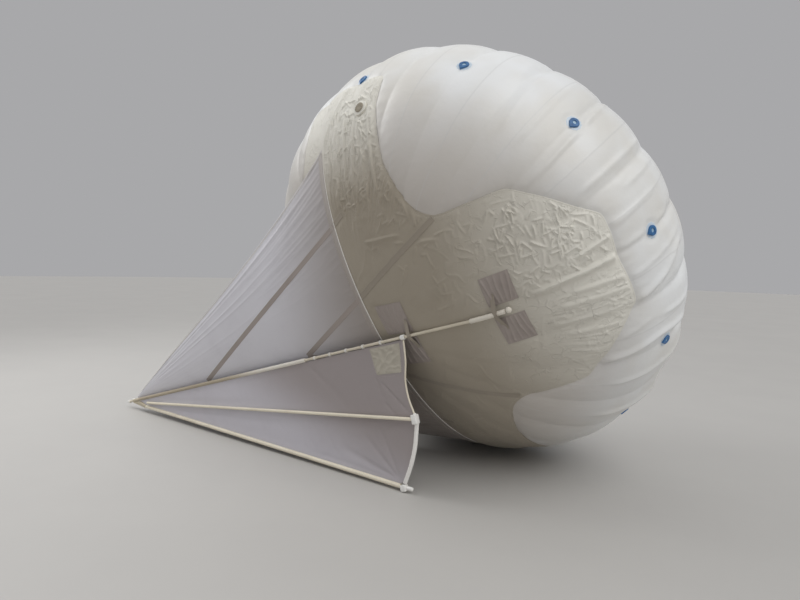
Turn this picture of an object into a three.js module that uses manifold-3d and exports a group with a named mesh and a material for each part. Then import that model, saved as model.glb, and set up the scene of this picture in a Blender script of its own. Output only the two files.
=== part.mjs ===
// A tethered aerostat: a kite balloon of gored film with a fabric harness, a boom, a tail sail and a keel sail.
// Millimetres, +Z up. The origin is the centre of the envelope.
// It lies as it is stored: on the rim of its envelope, its tail tip and its keel's foot.
// Inside the group named flight it is modelled as it flies: +X to the nose, +Z up, the boom underneath.

import * as THREE from "three";
import { mergeVertices } from "three/addons/utils/BufferGeometryUtils.js";
import Module from "manifold-3d";

const wasm = await Module();
wasm.setup();

// Driving dimensions

const RIM_RADIUS = 1598; // the envelope's radius at its equator
const TOP_HEIGHT = 1055; // from the equator up to the top
const BELLY_DEPTH = 1020; // from the equator down to the harnessed belly
const SKIN = 10; // thickness of the envelope's wall
const GORES = 26;
const GORE_TURN = -1.3; // degrees from the nose round to the first seam
const GORE_BULGE = 14; // how far the middle of a gore stands out past its seams at the rim

const HARNESS = 4; // thickness of the cross-shaped harness on the belly
const PATCH = 3; // thickness of a glued reinforcing patch
const GAP = 0.3; // between pieces that touch

const BOOM_RADIUS = 10;
const BOOM_DIP = 12.34; // degrees between the boom and the envelope's equator
const COLLAR_X = 204; // where the keel's front collar is, ahead of the envelope's centre
const COLLAR_STANDOFF = 40; // from the belly down to the boom's axis there
const KEEL_TOP = 3471; // along the boom, from the tail tip to the collar
const BOOM_END_X = 931; // the tied front end, ahead of the envelope's centre
const BOOM_END_STANDOFF = 36;
const BEND_START = 3990; // along the boom, where its front end starts to bend up
const BEND_KNEE = 4110;
const BOOM_END_RADIUS = 15;

const KEEL_FOOT = { along: 3234, down: 964 }; // along the boom from the tail tip, and down from it
const KEEL_MID = { along: 3443, down: 534 };
const SPAR_RADIUS = 16;
const STRUT_RADIUS = 12;
const SLEEVE_RADIUS = 15;
const SLEEVE_END = 2541; // along the boom
const SAIL = 4; // thickness of a sail
const RUNNING = 0.6; // between the boom and what turns on it

const HEM_X = -45; // the tail sail's front hem, behind the belly's middle
const HEM_SWEEP = 85; // how much further back the hem is at its two corners
const HEM_HALF_SPAN = 1275;

const LYING_ROLL = -62.5; // degrees about the boom, lying on its rim
const BOOM_RISE = 16.1; // degrees from the tail tip on the ground up to the belly
const KEEL_SWING = -LYING_ROLL; // the keel hangs plumb below the boom

const FILM = { color: 0xe9e9ea, roughness: 0.32, metalness: 0 };
const FABRIC = { color: 0xc4c0b8, roughness: 0.7, metalness: 0 };
const PATCH_FABRIC = { color: 0xa9a3a2, roughness: 0.75, metalness: 0 };
const SAILCLOTH = { color: 0xd9d6dc, roughness: 0.6, metalness: 0 };
const ROD = { color: 0xe6dfd0, roughness: 0.45, metalness: 0 };
const FITTING = { color: 0xf0efec, roughness: 0.4, metalness: 0 };
const LOOP_BLUE = { color: 0x2f6fa8, roughness: 0.45, metalness: 0 };

// Solids: to and from manifold-3d

const rad = THREE.MathUtils.degToRad;

/** A closed geometry as a solid. */
function solid(geometry) {
  const bare = geometry.clone();
  for (const name of Object.keys(bare.attributes)) {
    if (name !== "position") bare.deleteAttribute(name);
  }
  const merged = mergeVertices(bare, 1e-3);
  return new wasm.Manifold(
    new wasm.Mesh({
      numProp: 3,
      vertProperties: Float32Array.from(merged.attributes.position.array),
      triVerts: Uint32Array.from(merged.index.array),
    }),
  );
}

/** A solid as a geometry, without the slivers that a cut can leave. */
function geometryOf(made) {
  const mesh = made
    .decompose()
    .reduce((a, b) => (b.volume() > a.volume() ? b : a))
    .getMesh();
  const positions = new Float32Array(mesh.numVert * 3);
  for (let i = 0; i < mesh.numVert; i++) {
    for (let k = 0; k < 3; k++) {
      positions[3 * i + k] = mesh.vertProperties[i * mesh.numProp + k];
    }
  }
  return new THREE.BufferGeometry()
    .setAttribute("position", new THREE.BufferAttribute(positions, 3))
    .setIndex(new THREE.BufferAttribute(Uint32Array.from(mesh.triVerts), 1));
}

function union(...geometries) {
  return geometryOf(geometries.map(solid).reduce((a, b) => a.add(b)));
}

function cut(geometry, ...tools) {
  return geometryOf(tools.map(solid).reduce((a, b) => a.subtract(b), solid(geometry)));
}

function piece(group, name, geometry, finish) {
  const mesh = new THREE.Mesh(geometry, new THREE.MeshStandardMaterial(finish));
  mesh.name = name;
  group.add(mesh);
  return mesh;
}

/** A round rod between two points. */
function rod(from, to, radius, sides = 16) {
  const along = new THREE.Vector3().subVectors(to, from);
  const geometry = new THREE.CylinderGeometry(radius, radius, along.length(), sides);
  const turn = new THREE.Quaternion().setFromUnitVectors(
    new THREE.Vector3(0, 1, 0),
    along.clone().normalize(),
  );
  geometry.applyQuaternion(turn);
  const middle = new THREE.Vector3().addVectors(from, to).multiplyScalar(0.5);
  return geometry.translate(middle.x, middle.y, middle.z);
}

/** A round disc about the X axis, from x0 to x1. */
function disc(x0, x1, radius, sides = 20) {
  return rod(new THREE.Vector3(x0, 0, 0), new THREE.Vector3(x1, 0, 0), radius, sides);
}

/** A ring about the X axis, from x0 to x1, between two radii. */
function ring(x0, x1, inner, outer, sides = 24) {
  const profile = [
    [inner, x0],
    [outer, x0],
    [outer, x1],
    [inner, x1],
    [inner, x0],
  ].map(([r, x]) => new THREE.Vector2(r, x));
  return new THREE.LatheGeometry(profile, sides).rotateZ(-Math.PI / 2);
}

/** A round section swept along a curve. */
function tube(curve, radius, steps, sides = 12) {
  const section = new THREE.Shape();
  for (let i = 0; i < sides; i++) {
    const turn = (2 * Math.PI * i) / sides;
    const point = [radius * Math.cos(turn), radius * Math.sin(turn)];
    if (i) section.lineTo(...point);
    else section.moveTo(...point);
  }
  section.closePath();
  return new THREE.ExtrudeGeometry(section, { steps, bevelEnabled: false, extrudePath: curve });
}

/** A closed sheet: grid(u, v, side) gives a point on the sheet's face, side 1 or -1. */
function sheet(across, along, grid) {
  const positions = [];
  const triangles = [];
  const rows = along + 1;
  const columns = across + 1;
  for (const side of [1, -1]) {
    for (let j = 0; j < rows; j++) {
      for (let i = 0; i < columns; i++) {
        positions.push(...grid(i / across, j / along, side).toArray());
      }
    }
  }
  const at = (i, j, side) => (side > 0 ? 0 : rows * columns) + j * columns + i;
  const quad = (a, b, c, d) => triangles.push(a, b, c, a, c, d);
  for (let j = 0; j < along; j++) {
    for (let i = 0; i < across; i++) {
      quad(at(i, j, 1), at(i + 1, j, 1), at(i + 1, j + 1, 1), at(i, j + 1, 1));
      quad(at(i, j, -1), at(i, j + 1, -1), at(i + 1, j + 1, -1), at(i + 1, j, -1));
    }
    quad(at(0, j, 1), at(0, j + 1, 1), at(0, j + 1, -1), at(0, j, -1));
    quad(at(across, j, -1), at(across, j + 1, -1), at(across, j + 1, 1), at(across, j, 1));
  }
  for (let i = 0; i < across; i++) {
    quad(at(i, 0, -1), at(i + 1, 0, -1), at(i + 1, 0, 1), at(i, 0, 1));
    quad(at(i, along, 1), at(i + 1, along, 1), at(i + 1, along, -1), at(i, along, -1));
  }
  return new THREE.BufferGeometry()
    .setAttribute("position", new THREE.Float32BufferAttribute(positions, 3))
    .setIndex(triangles);
}

// The envelope's surface

const GORE_STEPS = 3; // faces across a gore
const LATITUDE_STEP = 9; // degrees between rings

/** A point that stands out by offset from the envelope: azimuth from the nose, latitude, both in radians. */
function skinPoint(azimuth, latitude, offset) {
  const height = latitude < 0 ? BELLY_DEPTH : TOP_HEIGHT;
  const wave = Math.abs(Math.sin((GORES / 2) * (azimuth - rad(GORE_TURN))));
  const swell = GORE_BULGE * wave * Math.cos(latitude) ** 2;
  const out = new THREE.Vector3(
    Math.cos(latitude) * Math.cos(azimuth),
    Math.cos(latitude) * Math.sin(azimuth),
    Math.sin(latitude),
  );
  const normal = new THREE.Vector3(out.x / RIM_RADIUS, out.y / RIM_RADIUS, out.z / height).normalize();
  return new THREE.Vector3(out.x * RIM_RADIUS, out.y * RIM_RADIUS, out.z * height).addScaledVector(
    normal,
    swell + offset,
  );
}

/** How far below the equator the belly is, at a place in plan. */
function bellyDepth(x, y) {
  return BELLY_DEPTH * Math.sqrt(1 - (x * x + y * y) / RIM_RADIUS ** 2);
}

/** A closed surface of the envelope's form, standing out by offset all round. */
function skinSurface(offset) {
  const turns = GORES * GORE_STEPS;
  const rings = 180 / LATITUDE_STEP;
  const positions = [];
  const triangles = [];
  for (let j = 0; j <= rings; j++) {
    const latitude = rad(90 - j * LATITUDE_STEP);
    const count = j === 0 || j === rings ? 1 : turns;
    for (let i = 0; i < count; i++) {
      const azimuth = rad(GORE_TURN + (i * 360) / turns);
      positions.push(...skinPoint(azimuth, latitude, offset).toArray());
    }
  }
  const at = (i, j) => {
    if (j === 0) return 0;
    if (j === rings) return 1 + (rings - 1) * turns;
    return 1 + (j - 1) * turns + (i % turns);
  };
  for (let j = 0; j < rings; j++) {
    for (let i = 0; i < turns; i++) {
      if (j > 0) triangles.push(at(i, j), at(i, j + 1), at(i + 1, j));
      if (j < rings - 1) triangles.push(at(i + 1, j), at(i, j + 1), at(i + 1, j + 1));
    }
  }
  return new THREE.BufferGeometry()
    .setAttribute("position", new THREE.Float32BufferAttribute(positions, 3))
    .setIndex(triangles);
}

/** The layer between two offsets from the envelope that lies inside a prism. */
function layer(inner, outer, prism) {
  return geometryOf(
    solid(prism).intersect(solid(skinSurface(outer))).subtract(solid(skinSurface(inner))),
  );
}

/** An upright prism through the belly with the given outline in plan. */
function bellyPrism(outline) {
  const depth = BELLY_DEPTH * 1.5;
  const shape = new THREE.Shape(outline.map(([x, y]) => new THREE.Vector2(x, y)));
  return new THREE.ExtrudeGeometry(shape, { depth, bevelEnabled: false }).translate(0, 0, -depth);
}

/** A frame on the envelope's surface: its X axis points out of the skin, and its Z axis up the meridian. */
function surfaceFrame(azimuthDegrees, latitudeDegrees) {
  const azimuth = rad(azimuthDegrees);
  const latitude = rad(latitudeDegrees);
  const height = latitude < 0 ? BELLY_DEPTH : TOP_HEIGHT;
  const out = new THREE.Vector3(
    (Math.cos(latitude) * Math.cos(azimuth)) / RIM_RADIUS,
    (Math.cos(latitude) * Math.sin(azimuth)) / RIM_RADIUS,
    Math.sin(latitude) / height,
  ).normalize();
  const round = new THREE.Vector3(-Math.sin(azimuth), Math.cos(azimuth), 0);
  const up = new THREE.Vector3().crossVectors(out, round);
  return new THREE.Matrix4()
    .makeBasis(out, round, up)
    .setPosition(skinPoint(azimuth, latitude, 0));
}

// Envelope and its fill valve

const THROUGH = 60; // how far a cutter reaches each way through the skin
const VALVE = { azimuth: -79.5, latitude: -29, hole: 32, neck: 22, flange: 52, cap: 34 };
// heights out of the skin: the neck's inner end, the flange, its top, the cap's plug and the cap's top
const VALVE_LEVELS = { inside: -30, flange: 12, top: 18, plug: -12, cap: 28 };

/** The round way through the skin at the fill valve. */
function valveBore() {
  const place = surfaceFrame(VALVE.azimuth, VALVE.latitude);
  return disc(-THROUGH, THROUGH, VALVE.hole).applyMatrix4(place);
}

function envelope(group) {
  piece(group, "envelope", cut(skinSurface(0), skinSurface(-SKIN), valveBore()), FILM);
}

function fillValve(group) {
  const place = surfaceFrame(VALVE.azimuth, VALVE.latitude);
  const { inside, flange, top, plug, cap } = VALVE_LEVELS;
  const body = union(
    ring(flange, top, VALVE.neck, VALVE.flange, 20),
    ring(inside, top - 2, VALVE.neck, VALVE.hole - 1, 20),
  );
  piece(group, "fill_valve", body.applyMatrix4(place), FITTING);
  const lid = union(disc(top + GAP, cap, VALVE.cap), disc(plug, top + 2, VALVE.neck - 1));
  piece(group, "fill_valve_cap", lid.applyMatrix4(place), PATCH_FABRIC);
}

// Harness: a cross over the belly, with four rounded windows that the film swells through

const ARM_END = 1530; // from the belly's middle to the end of a side arm, under the rim
// azimuth in degrees from the nose arm's middle round to a side arm's, and the harness's reach there
const QUARTER = [
  { azimuth: 0, reach: 1458 },
  { azimuth: 6, reach: 1468 },
  { azimuth: 11, reach: 1475 },
  { azimuth: 15.5, reach: 1420 },
  { azimuth: 22, reach: 1352 },
  { azimuth: 30, reach: 1272 },
  { azimuth: 37, reach: 1075 },
  { azimuth: 41, reach: 985 },
  { azimuth: 45, reach: 948 },
  { azimuth: 50, reach: 940 },
  { azimuth: 55.5, reach: 971 },
  { azimuth: 61, reach: 1030 },
  { azimuth: 67, reach: 1122 },
  { azimuth: 71, reach: 1241 },
  { azimuth: 74.5, reach: 1396 },
  { azimuth: 76, reach: ARM_END },
  { azimuth: 90, reach: ARM_END },
];

/** The harness in plan: the same quarter four times, mirrored fore and aft and from side to side. */
function harnessOutline() {
  const mirrored = (points, turn) =>
    points.map(({ azimuth, reach }) => ({ azimuth: turn - azimuth, reach })).reverse();
  const half = [...QUARTER, ...mirrored(QUARTER.slice(0, -1), 180)];
  const whole = [...half, ...mirrored(half.slice(1, -1), 360)];
  return whole.map(({ azimuth, reach }) => [
    reach * Math.cos(rad(azimuth)),
    reach * Math.sin(rad(azimuth)),
  ]);
}

function harness(group) {
  const cross = layer(GAP, GAP + HARNESS, bellyPrism(harnessOutline()));
  piece(group, "harness", cut(cross, valveBore()), FABRIC);
}

// Boom

const dip = rad(BOOM_DIP);
const collar = new THREE.Vector3(COLLAR_X, 0, -(bellyDepth(COLLAR_X, 0) + COLLAR_STANDOFF));
const boomWay = new THREE.Vector3(Math.cos(dip), 0, Math.sin(dip));
const boomUp = new THREE.Vector3(-Math.sin(dip), 0, Math.cos(dip));
const tailTip = collar.clone().addScaledVector(boomWay, -KEEL_TOP);

/** A point on the boom's straight run. */
function onBoom(along) {
  return tailTip.clone().addScaledVector(boomWay, along);
}

/** The line of the boom's bent front end. */
const frontEnd = new THREE.QuadraticBezierCurve3(
  onBoom(BEND_START + GAP),
  onBoom(BEND_KNEE),
  new THREE.Vector3(BOOM_END_X, 0, -(bellyDepth(BOOM_END_X, 0) + BOOM_END_STANDOFF)),
);

function boom(group) {
  piece(group, "boom", rod(onBoom(0), onBoom(BEND_START), BOOM_RADIUS), ROD);
  piece(group, "boom_end_sleeve", tube(frontEnd, BOOM_END_RADIUS, 6), ROD);
}

/** The height of the boom's axis at a place ahead of the envelope's centre, straight run or bent end. */
function boomHeight(x) {
  if (x <= frontEnd.v0.x) return onBoom((x - tailTip.x) / boomWay.x).z;
  let near = 0;
  let far = 1;
  for (let i = 0; i < 30; i++) {
    const half = (near + far) / 2;
    if (frontEnd.getPoint(half).x < x) near = half;
    else far = half;
  }
  return frontEnd.getPoint(near).z;
}

// What ties the boom to the belly

const SIDES = [
  { name: "left", sign: 1 },
  { name: "right", sign: -1 },
];
const PATCHES = [
  { name: "front_patch", x0: 838, x1: 1008, y0: 42, y1: 226 },
  { name: "rear_patch", x0: 46, x1: 283, y0: 14, y1: 232 },
];
const ON_HARNESS = 2 * GAP + HARNESS; // where a piece lies that touches the harness
const ON_PATCH = ON_HARNESS + PATCH + GAP;

function patches(group) {
  for (const { name, x0, x1, y0, y1 } of PATCHES) {
    for (const side of SIDES) {
      const outline = [
        [x0, y0 * side.sign],
        [x1, y0 * side.sign],
        [x1, y1 * side.sign],
        [x0, y1 * side.sign],
      ];
      if (side.sign < 0) outline.reverse();
      const made = layer(ON_HARNESS, ON_HARNESS + PATCH, bellyPrism(outline));
      piece(group, name + "_" + side.name, made, PATCH_FABRIC);
    }
  }
}

const STRAP = 2; // thickness
const STRAP_WIDTH = 34;
const STRAP_STEPS = 8; // faces round the boom
const STRAP_TRIM = 4; // how deep a strap's end runs into its patch before it is trimmed to it
// x is the strap's place, grip the radius that it goes round, reach its feet's distance to each side
const STRAPS = [
  { name: "rear_strap", x: 258, grip: BOOM_RADIUS, reach: 78 },
  { name: "front_strap", x: 880, grip: BOOM_END_RADIUS + 2, reach: 92 },
];

/** The middle line of a strap across the boom, as places to the side and up. */
function strapWay(x, grip, reach) {
  const boomZ = boomHeight(x);
  const footZ = -(bellyDepth(x, reach) + ON_PATCH - STRAP_TRIM);
  const slant = Math.hypot(reach, footZ - boomZ);
  const radius = grip + RUNNING + STRAP / 2;
  const start = Math.atan2(footZ - boomZ, reach) - Math.acos(radius / slant);
  const way = [new THREE.Vector2(reach, footZ)];
  for (let i = 0; i <= STRAP_STEPS; i++) {
    const turn = start - ((Math.PI + 2 * start) * i) / STRAP_STEPS;
    way.push(new THREE.Vector2(radius * Math.cos(turn), boomZ + radius * Math.sin(turn)));
  }
  way.push(new THREE.Vector2(-reach, footZ));
  return way;
}

/** A strap from patch to patch, over the boom. */
function strap({ x, grip, reach }) {
  const last = STRAP_STEPS + 2;
  const band = sheet(last, 1, (u, v, side) => {
    const place = x + (v - 0.5) * STRAP_WIDTH;
    const way = strapWay(place, grip, reach);
    const i = Math.round(u * last);
    const along = way[Math.min(i + 1, last)].clone().sub(way[Math.max(i - 1, 0)]).normalize();
    const at = way[i].addScaledVector(new THREE.Vector2(along.y, -along.x), (side * STRAP) / 2);
    return new THREE.Vector3(place, at.x, at.y);
  });
  return cut(band, skinSurface(ON_PATCH));
}

function straps(group) {
  for (const entry of STRAPS) piece(group, entry.name, strap(entry), PATCH_FABRIC);
}

const KNOB = { radius: 19, ahead: 21 }; // ahead of the boom's end
const TIE = { radius: 7, back: 10, reach: 60 };

/** The knob that closes the boom's front end, and the tie from it up to the belly. */
function noseTie(group) {
  const centre = frontEnd.v2.clone().addScaledVector(frontEnd.getTangent(1), KNOB.ahead);
  const knob = new THREE.IcosahedronGeometry(KNOB.radius, 1).translate(centre.x, centre.y, centre.z);
  const root = new THREE.Vector3(centre.x - TIE.back, 0, centre.z + TIE.reach);
  const tied = union(knob, rod(centre, root, TIE.radius, 10));
  piece(group, "nose_tie", cut(tied, skinSurface(ON_HARNESS)), FITTING);
}

// Rim loops: a pointed tab with a sunk eye on a scalloped pad, on every second seam round the rim

const LOOPS = GORES / 2;
const LOOP_LATITUDE = -9.6;
const LOW_LOOPS = { places: [3, 10], latitude: -14.5 }; // over the ends of the side arms
const LOOP_ROOT = -8; // where a loop starts before it is trimmed to the skin; heights are out of the skin
const LOOP_PAD = { radius: 46, scallop: 2, lobes: 12, top: 2.3 };
const LOOP_TAB = { radius: 31, tip: 47, top: 10 };
const LOOP_EYE = { radius: 11, depth: 4 };

/** A prism whose outline lies square to the X axis, from x0 to x1: points are round the rim and up. */
function standing(shape, x0, x1) {
  const turn = new THREE.Matrix4().makeBasis(
    new THREE.Vector3(0, 1, 0),
    new THREE.Vector3(0, 0, 1),
    new THREE.Vector3(1, 0, 0),
  );
  return new THREE.ExtrudeGeometry(shape, { depth: x1 - x0, bevelEnabled: false, curveSegments: 8 })
    .applyMatrix4(turn)
    .translate(x0, 0, 0);
}

/** The tab's outline: round, with its tip towards the belly. */
function tabShape() {
  const lean = Math.acos(LOOP_TAB.radius / LOOP_TAB.tip);
  const shape = new THREE.Shape();
  shape.moveTo(0, -LOOP_TAB.tip);
  shape.absarc(0, 0, LOOP_TAB.radius, lean - Math.PI / 2, (3 * Math.PI) / 2 - lean, false);
  return shape;
}

/** The pad's scalloped outline. */
function padShape() {
  const points = [];
  for (let i = 0; i < 2 * LOOP_PAD.lobes; i++) {
    const turn = (Math.PI * i) / LOOP_PAD.lobes;
    const radius = LOOP_PAD.radius + (i % 2 ? -LOOP_PAD.scallop : LOOP_PAD.scallop);
    points.push(new THREE.Vector2(radius * Math.cos(turn), radius * Math.sin(turn)));
  }
  return new THREE.Shape(points);
}

function rimLoops(group) {
  const eye = disc(LOOP_TAB.top - LOOP_EYE.depth, LOOP_TAB.top + THROUGH, LOOP_EYE.radius, 16);
  const tab = cut(standing(tabShape(), LOOP_ROOT, LOOP_TAB.top), eye);
  const loop = union(standing(padShape(), LOOP_ROOT, LOOP_PAD.top), tab);
  for (let i = 0; i < LOOPS; i++) {
    const latitude = LOW_LOOPS.places.includes(i) ? LOW_LOOPS.latitude : LOOP_LATITUDE;
    const place = surfaceFrame(GORE_TURN + (360 * i) / LOOPS, latitude);
    const shape = cut(loop.clone().applyMatrix4(place), skinSurface(GAP));
    piece(group, "rim_loop_" + String(i + 1).padStart(2, "0"), shape, LOOP_BLUE);
  }
}

// Tail sail: one sheet from the hem over the belly to the tail tip

const TAIL_SAIL_LIFT = 30; // from the boom's axis up to the sail at the tail tip
const TAIL_SAIL_START = 60; // along the boom
const TAIL_SAIL_END = 0.985; // where the sheet stops short of its apex, as a share of its length
const EDGE_HOLLOW = 0.09; // how far a free edge is hollowed, as a share of the span
const TAIL_CAP = { length: 26, radius: 17 };
const SADDLE = { along: 32, length: 44, width: 26 };

/** A point of the tail sail's front hem, on the harness: share runs from -1 to 1 across it. */
function hemPoint(share) {
  const y = HEM_HALF_SPAN * share;
  const x = HEM_X - HEM_SWEEP * share * share;
  return new THREE.Vector3(x, y, -(bellyDepth(x, y) + HARNESS));
}

function tailSail(group) {
  const apex = onBoom(TAIL_SAIL_START).addScaledVector(boomUp, TAIL_SAIL_LIFT);
  const middle = (u, v) => {
    const share = (2 * u - 1) * (1 - EDGE_HOLLOW * 4 * v * (1 - v));
    return hemPoint(share).lerp(apex, v * TAIL_SAIL_END);
  };
  const grid = (u, v, side) => {
    const step = 0.01;
    const across = middle(Math.min(u + step, 1), v).sub(middle(Math.max(u - step, 0), v));
    const along = middle(u, Math.min(v + step, 1)).sub(middle(u, Math.max(v - step, 0)));
    const out = new THREE.Vector3().crossVectors(across, along).normalize();
    return middle(u, v).addScaledVector(out, (side * SAIL) / 2);
  };
  piece(group, "tail_sail", cut(sheet(28, 10, grid), skinSurface(ON_HARNESS)), SAILCLOTH);
}

/** The cap on the boom's tail tip, and the block between the boom and the tail sail. */
function tailFitting(group) {
  piece(group, "tail_cap", rod(onBoom(-GAP), onBoom(-TAIL_CAP.length), TAIL_CAP.radius), FITTING);
  const under = TAIL_SAIL_LIFT - SAIL / 2;
  const height = under - BOOM_RADIUS - 2 * GAP;
  const place = onBoom(SADDLE.along).addScaledVector(boomUp, (under + BOOM_RADIUS) / 2);
  const block = new THREE.BoxGeometry(SADDLE.length, SADDLE.width, height)
    .rotateY(-dip)
    .translate(place.x, place.y, place.z);
  piece(group, "tail_saddle", block, FITTING);
}

// Keel: it turns about the boom. Its X axis runs forward along the boom, and its Z axis points up to it.

const FOOT_ROD_START = 288; // along each rod from the tail tip
const STRUT_START = 330;
const BOOT = { start: 64, end: 176 };
const POCKET_THICKNESS = 26;
// the boot's pocket, which runs down to the foot spar's start: along the boom and up
const POCKET = [
  [70, -12],
  [70, -22],
  [270, -97],
  [270, -62],
  [BOOT.end, -16],
  [BOOT.end, -12],
];
const LASHING = { places: [2640, 2800, 2960, 3120, 3280], half: 8, radius: 15 };
const KEEL_COLLAR = { half: 16, radius: 17 };
const BATTEN = 6; // radius of the leading edge's thin upper batten
const LUFF = 14; // radius of its padded lower part
const EDGE_STEPS = 14;
const MID_FITTING = { length: 38, width: 46, height: 62, side: -9 };
const FOOT_FITTING = { length: 44, width: 40, height: 44, drop: 6 };
const SPUR = { radius: 14, ahead: 72, down: 20 }; // the stub that points forward from the foot
const SPAR_STOP = 26; // where a rod stops short of its fitting's middle
const STRUT_STOP = 22.5;
// the reinforced corner of the keel sail under the collar, along the boom and up
const KEEL_PATCH = [
  [3172, -26],
  [3434, -30],
  [3404, -222],
  [3193, -209],
];
const KEEL_PATCH_THICKNESS = 1.5;

const inKeel = (along, down, y = 0) => new THREE.Vector3(along, y, -down);
const foot = inKeel(KEEL_FOOT.along, KEEL_FOOT.down);
const mid = inKeel(KEEL_MID.along, KEEL_MID.down);
const footWay = foot.clone().normalize();
const midWay = mid.clone().normalize();
const strutSide = -(SAIL / 2 + GAP + STRUT_RADIUS); // the strut lies on the sail's open side

/** The leading edge between the collar and the mid fitting, drawn in by the cloth's pull. */
const upperEdge = new THREE.CatmullRomCurve3([
  inKeel(KEEL_TOP, KEEL_COLLAR.radius + 1),
  inKeel(3455, 148),
  inKeel(3418, 301),
  inKeel(3419, 400),
  inKeel(3438, KEEL_MID.down - MID_FITTING.height / 2 - 4),
]);
/** The leading edge from the mid fitting down to the foot, bowed forward. */
const lowerEdge = new THREE.CatmullRomCurve3([
  inKeel(3441, KEEL_MID.down + MID_FITTING.height / 2 + 6),
  inKeel(3424, 620),
  inKeel(3391, 710),
  inKeel(3331, 822),
  inKeel(3250, 938),
]);

function keelRods(group) {
  const footStart = footWay.clone().multiplyScalar(FOOT_ROD_START);
  const footEnd = foot.clone().addScaledVector(footWay, -SPAR_STOP);
  piece(group, "foot_spar", rod(footStart, footEnd, SPAR_RADIUS), ROD);
  const strutStart = midWay.clone().multiplyScalar(STRUT_START).setY(strutSide);
  const strutEnd = mid.clone().addScaledVector(midWay, -STRUT_STOP).setY(strutSide);
  piece(group, "mid_strut", rod(strutStart, strutEnd, STRUT_RADIUS), ROD);
  piece(group, "upper_batten", tube(upperEdge, BATTEN, EDGE_STEPS, 10), ROD);
  piece(group, "lower_luff", tube(lowerEdge, LUFF, EDGE_STEPS, 12), SAILCLOTH);
}

function keelFittings(group) {
  const sides = 24;
  const bore = (BOOM_RADIUS + RUNNING) / Math.cos(Math.PI / sides);
  const boot = union(
    ring(BOOT.start, BOOT.end, bore, SLEEVE_RADIUS, sides),
    keelSheet(POCKET, POCKET_THICKNESS, 0),
  );
  piece(group, "keel_boot", boot, FITTING);
  piece(group, "boom_sleeve", ring(BOOT.end + GAP, SLEEVE_END, bore, SLEEVE_RADIUS, sides), SAILCLOTH);
  LASHING.places.forEach((along, i) => {
    const made = ring(along - LASHING.half, along + LASHING.half, bore, LASHING.radius, sides);
    piece(group, "keel_lashing_" + (i + 1), made, FITTING);
  });
  const { half, radius } = KEEL_COLLAR;
  piece(group, "keel_collar", ring(KEEL_TOP - half, KEEL_TOP + half, bore, radius, sides), FITTING);
  const tee = new THREE.BoxGeometry(MID_FITTING.length, MID_FITTING.width, MID_FITTING.height);
  piece(group, "mid_fitting", tee.translate(mid.x, MID_FITTING.side, mid.z), FITTING);
  const corner = union(
    new THREE.BoxGeometry(FOOT_FITTING.length, FOOT_FITTING.width, FOOT_FITTING.height).translate(
      foot.x,
      0,
      foot.z - FOOT_FITTING.drop,
    ),
    rod(foot, foot.clone().add(new THREE.Vector3(SPUR.ahead, 0, -SPUR.down)), SPUR.radius, 14),
  );
  piece(group, "foot_fitting", corner, FITTING);
}

/** The keel sail's outline in the keel's plane: along the boom, and up. */
function keelOutline() {
  const clear = 2 * GAP;
  const hem = (curve, radius) =>
    curve.getSpacedPoints(EDGE_STEPS).map((at, i) => {
      const way = curve.getTangentAt(i / EDGE_STEPS);
      return [at.x + way.z * (radius + clear), at.z - way.x * (radius + clear)];
    });
  const slope = Math.atan2(KEEL_FOOT.down, KEEL_FOOT.along);
  const onSpar = (along) => [
    along,
    -along * Math.tan(slope) + (SPAR_RADIUS + clear) / Math.cos(slope),
  ];
  const underSleeve = -(SLEEVE_RADIUS + GAP);
  const underLashings = -(LASHING.radius + GAP);
  const collarStart = KEEL_TOP - KEEL_COLLAR.half;
  const behindMid = mid.x - MID_FITTING.length / 2 - clear;
  const behindFoot = foot.x - FOOT_FITTING.length / 2 - clear;
  return [
    [BOOT.end + 8, underSleeve],
    [SLEEVE_END + 2, underSleeve],
    [SLEEVE_END + 6, underLashings],
    [collarStart - 3, underLashings],
    [collarStart - 1, -(KEEL_COLLAR.radius + GAP)],
    ...hem(upperEdge, BATTEN),
    [behindMid, mid.z + MID_FITTING.height / 2 + 3],
    [behindMid, mid.z - MID_FITTING.height / 2 - clear],
    ...hem(lowerEdge, LUFF),
    onSpar(behindFoot),
    onSpar(280),
  ];
}

/** A flat sheet in the keel's plane, its middle to one side of that plane by y. */
function keelSheet(outline, thickness, y) {
  const shape = new THREE.Shape(outline.map(([x, z]) => new THREE.Vector2(x, z)));
  return new THREE.ExtrudeGeometry(shape, { depth: thickness, bevelEnabled: false })
    .rotateX(Math.PI / 2)
    .translate(0, y + thickness / 2, 0);
}

function keelSail(group) {
  piece(group, "keel_sail", keelSheet(keelOutline(), SAIL, 0), SAILCLOTH);
  const side = -(SAIL / 2 + GAP + KEEL_PATCH_THICKNESS / 2);
  piece(group, "keel_patch", keelSheet(KEEL_PATCH, KEEL_PATCH_THICKNESS, side), FABRIC);
}

// Build

const flight = new THREE.Group();
envelope(flight);
fillValve(flight);
harness(flight);
boom(flight);
patches(flight);
straps(flight);
noseTie(flight);
rimLoops(flight);
tailSail(flight);
tailFitting(flight);

const boomFrame = new THREE.Group();
boomFrame.position.copy(tailTip);
boomFrame.rotation.y = -dip;
flight.add(boomFrame);

const keel = new THREE.Group();
keel.rotation.x = rad(KEEL_SWING);
boomFrame.add(keel);
keelRods(keel);
keelFittings(keel);
keelSail(keel);

const turnAbout = (axis, degrees) =>
  new THREE.Quaternion().setFromAxisAngle(new THREE.Vector3(...axis), rad(degrees));

const aerostat = new THREE.Group();
aerostat.add(flight);
flight.quaternion
  .copy(turnAbout([0, 1, 0], -BOOM_RISE))
  .multiply(turnAbout([1, 0, 0], LYING_ROLL))
  .multiply(turnAbout([0, 1, 0], BOOM_DIP));

export default aerostat;
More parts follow.
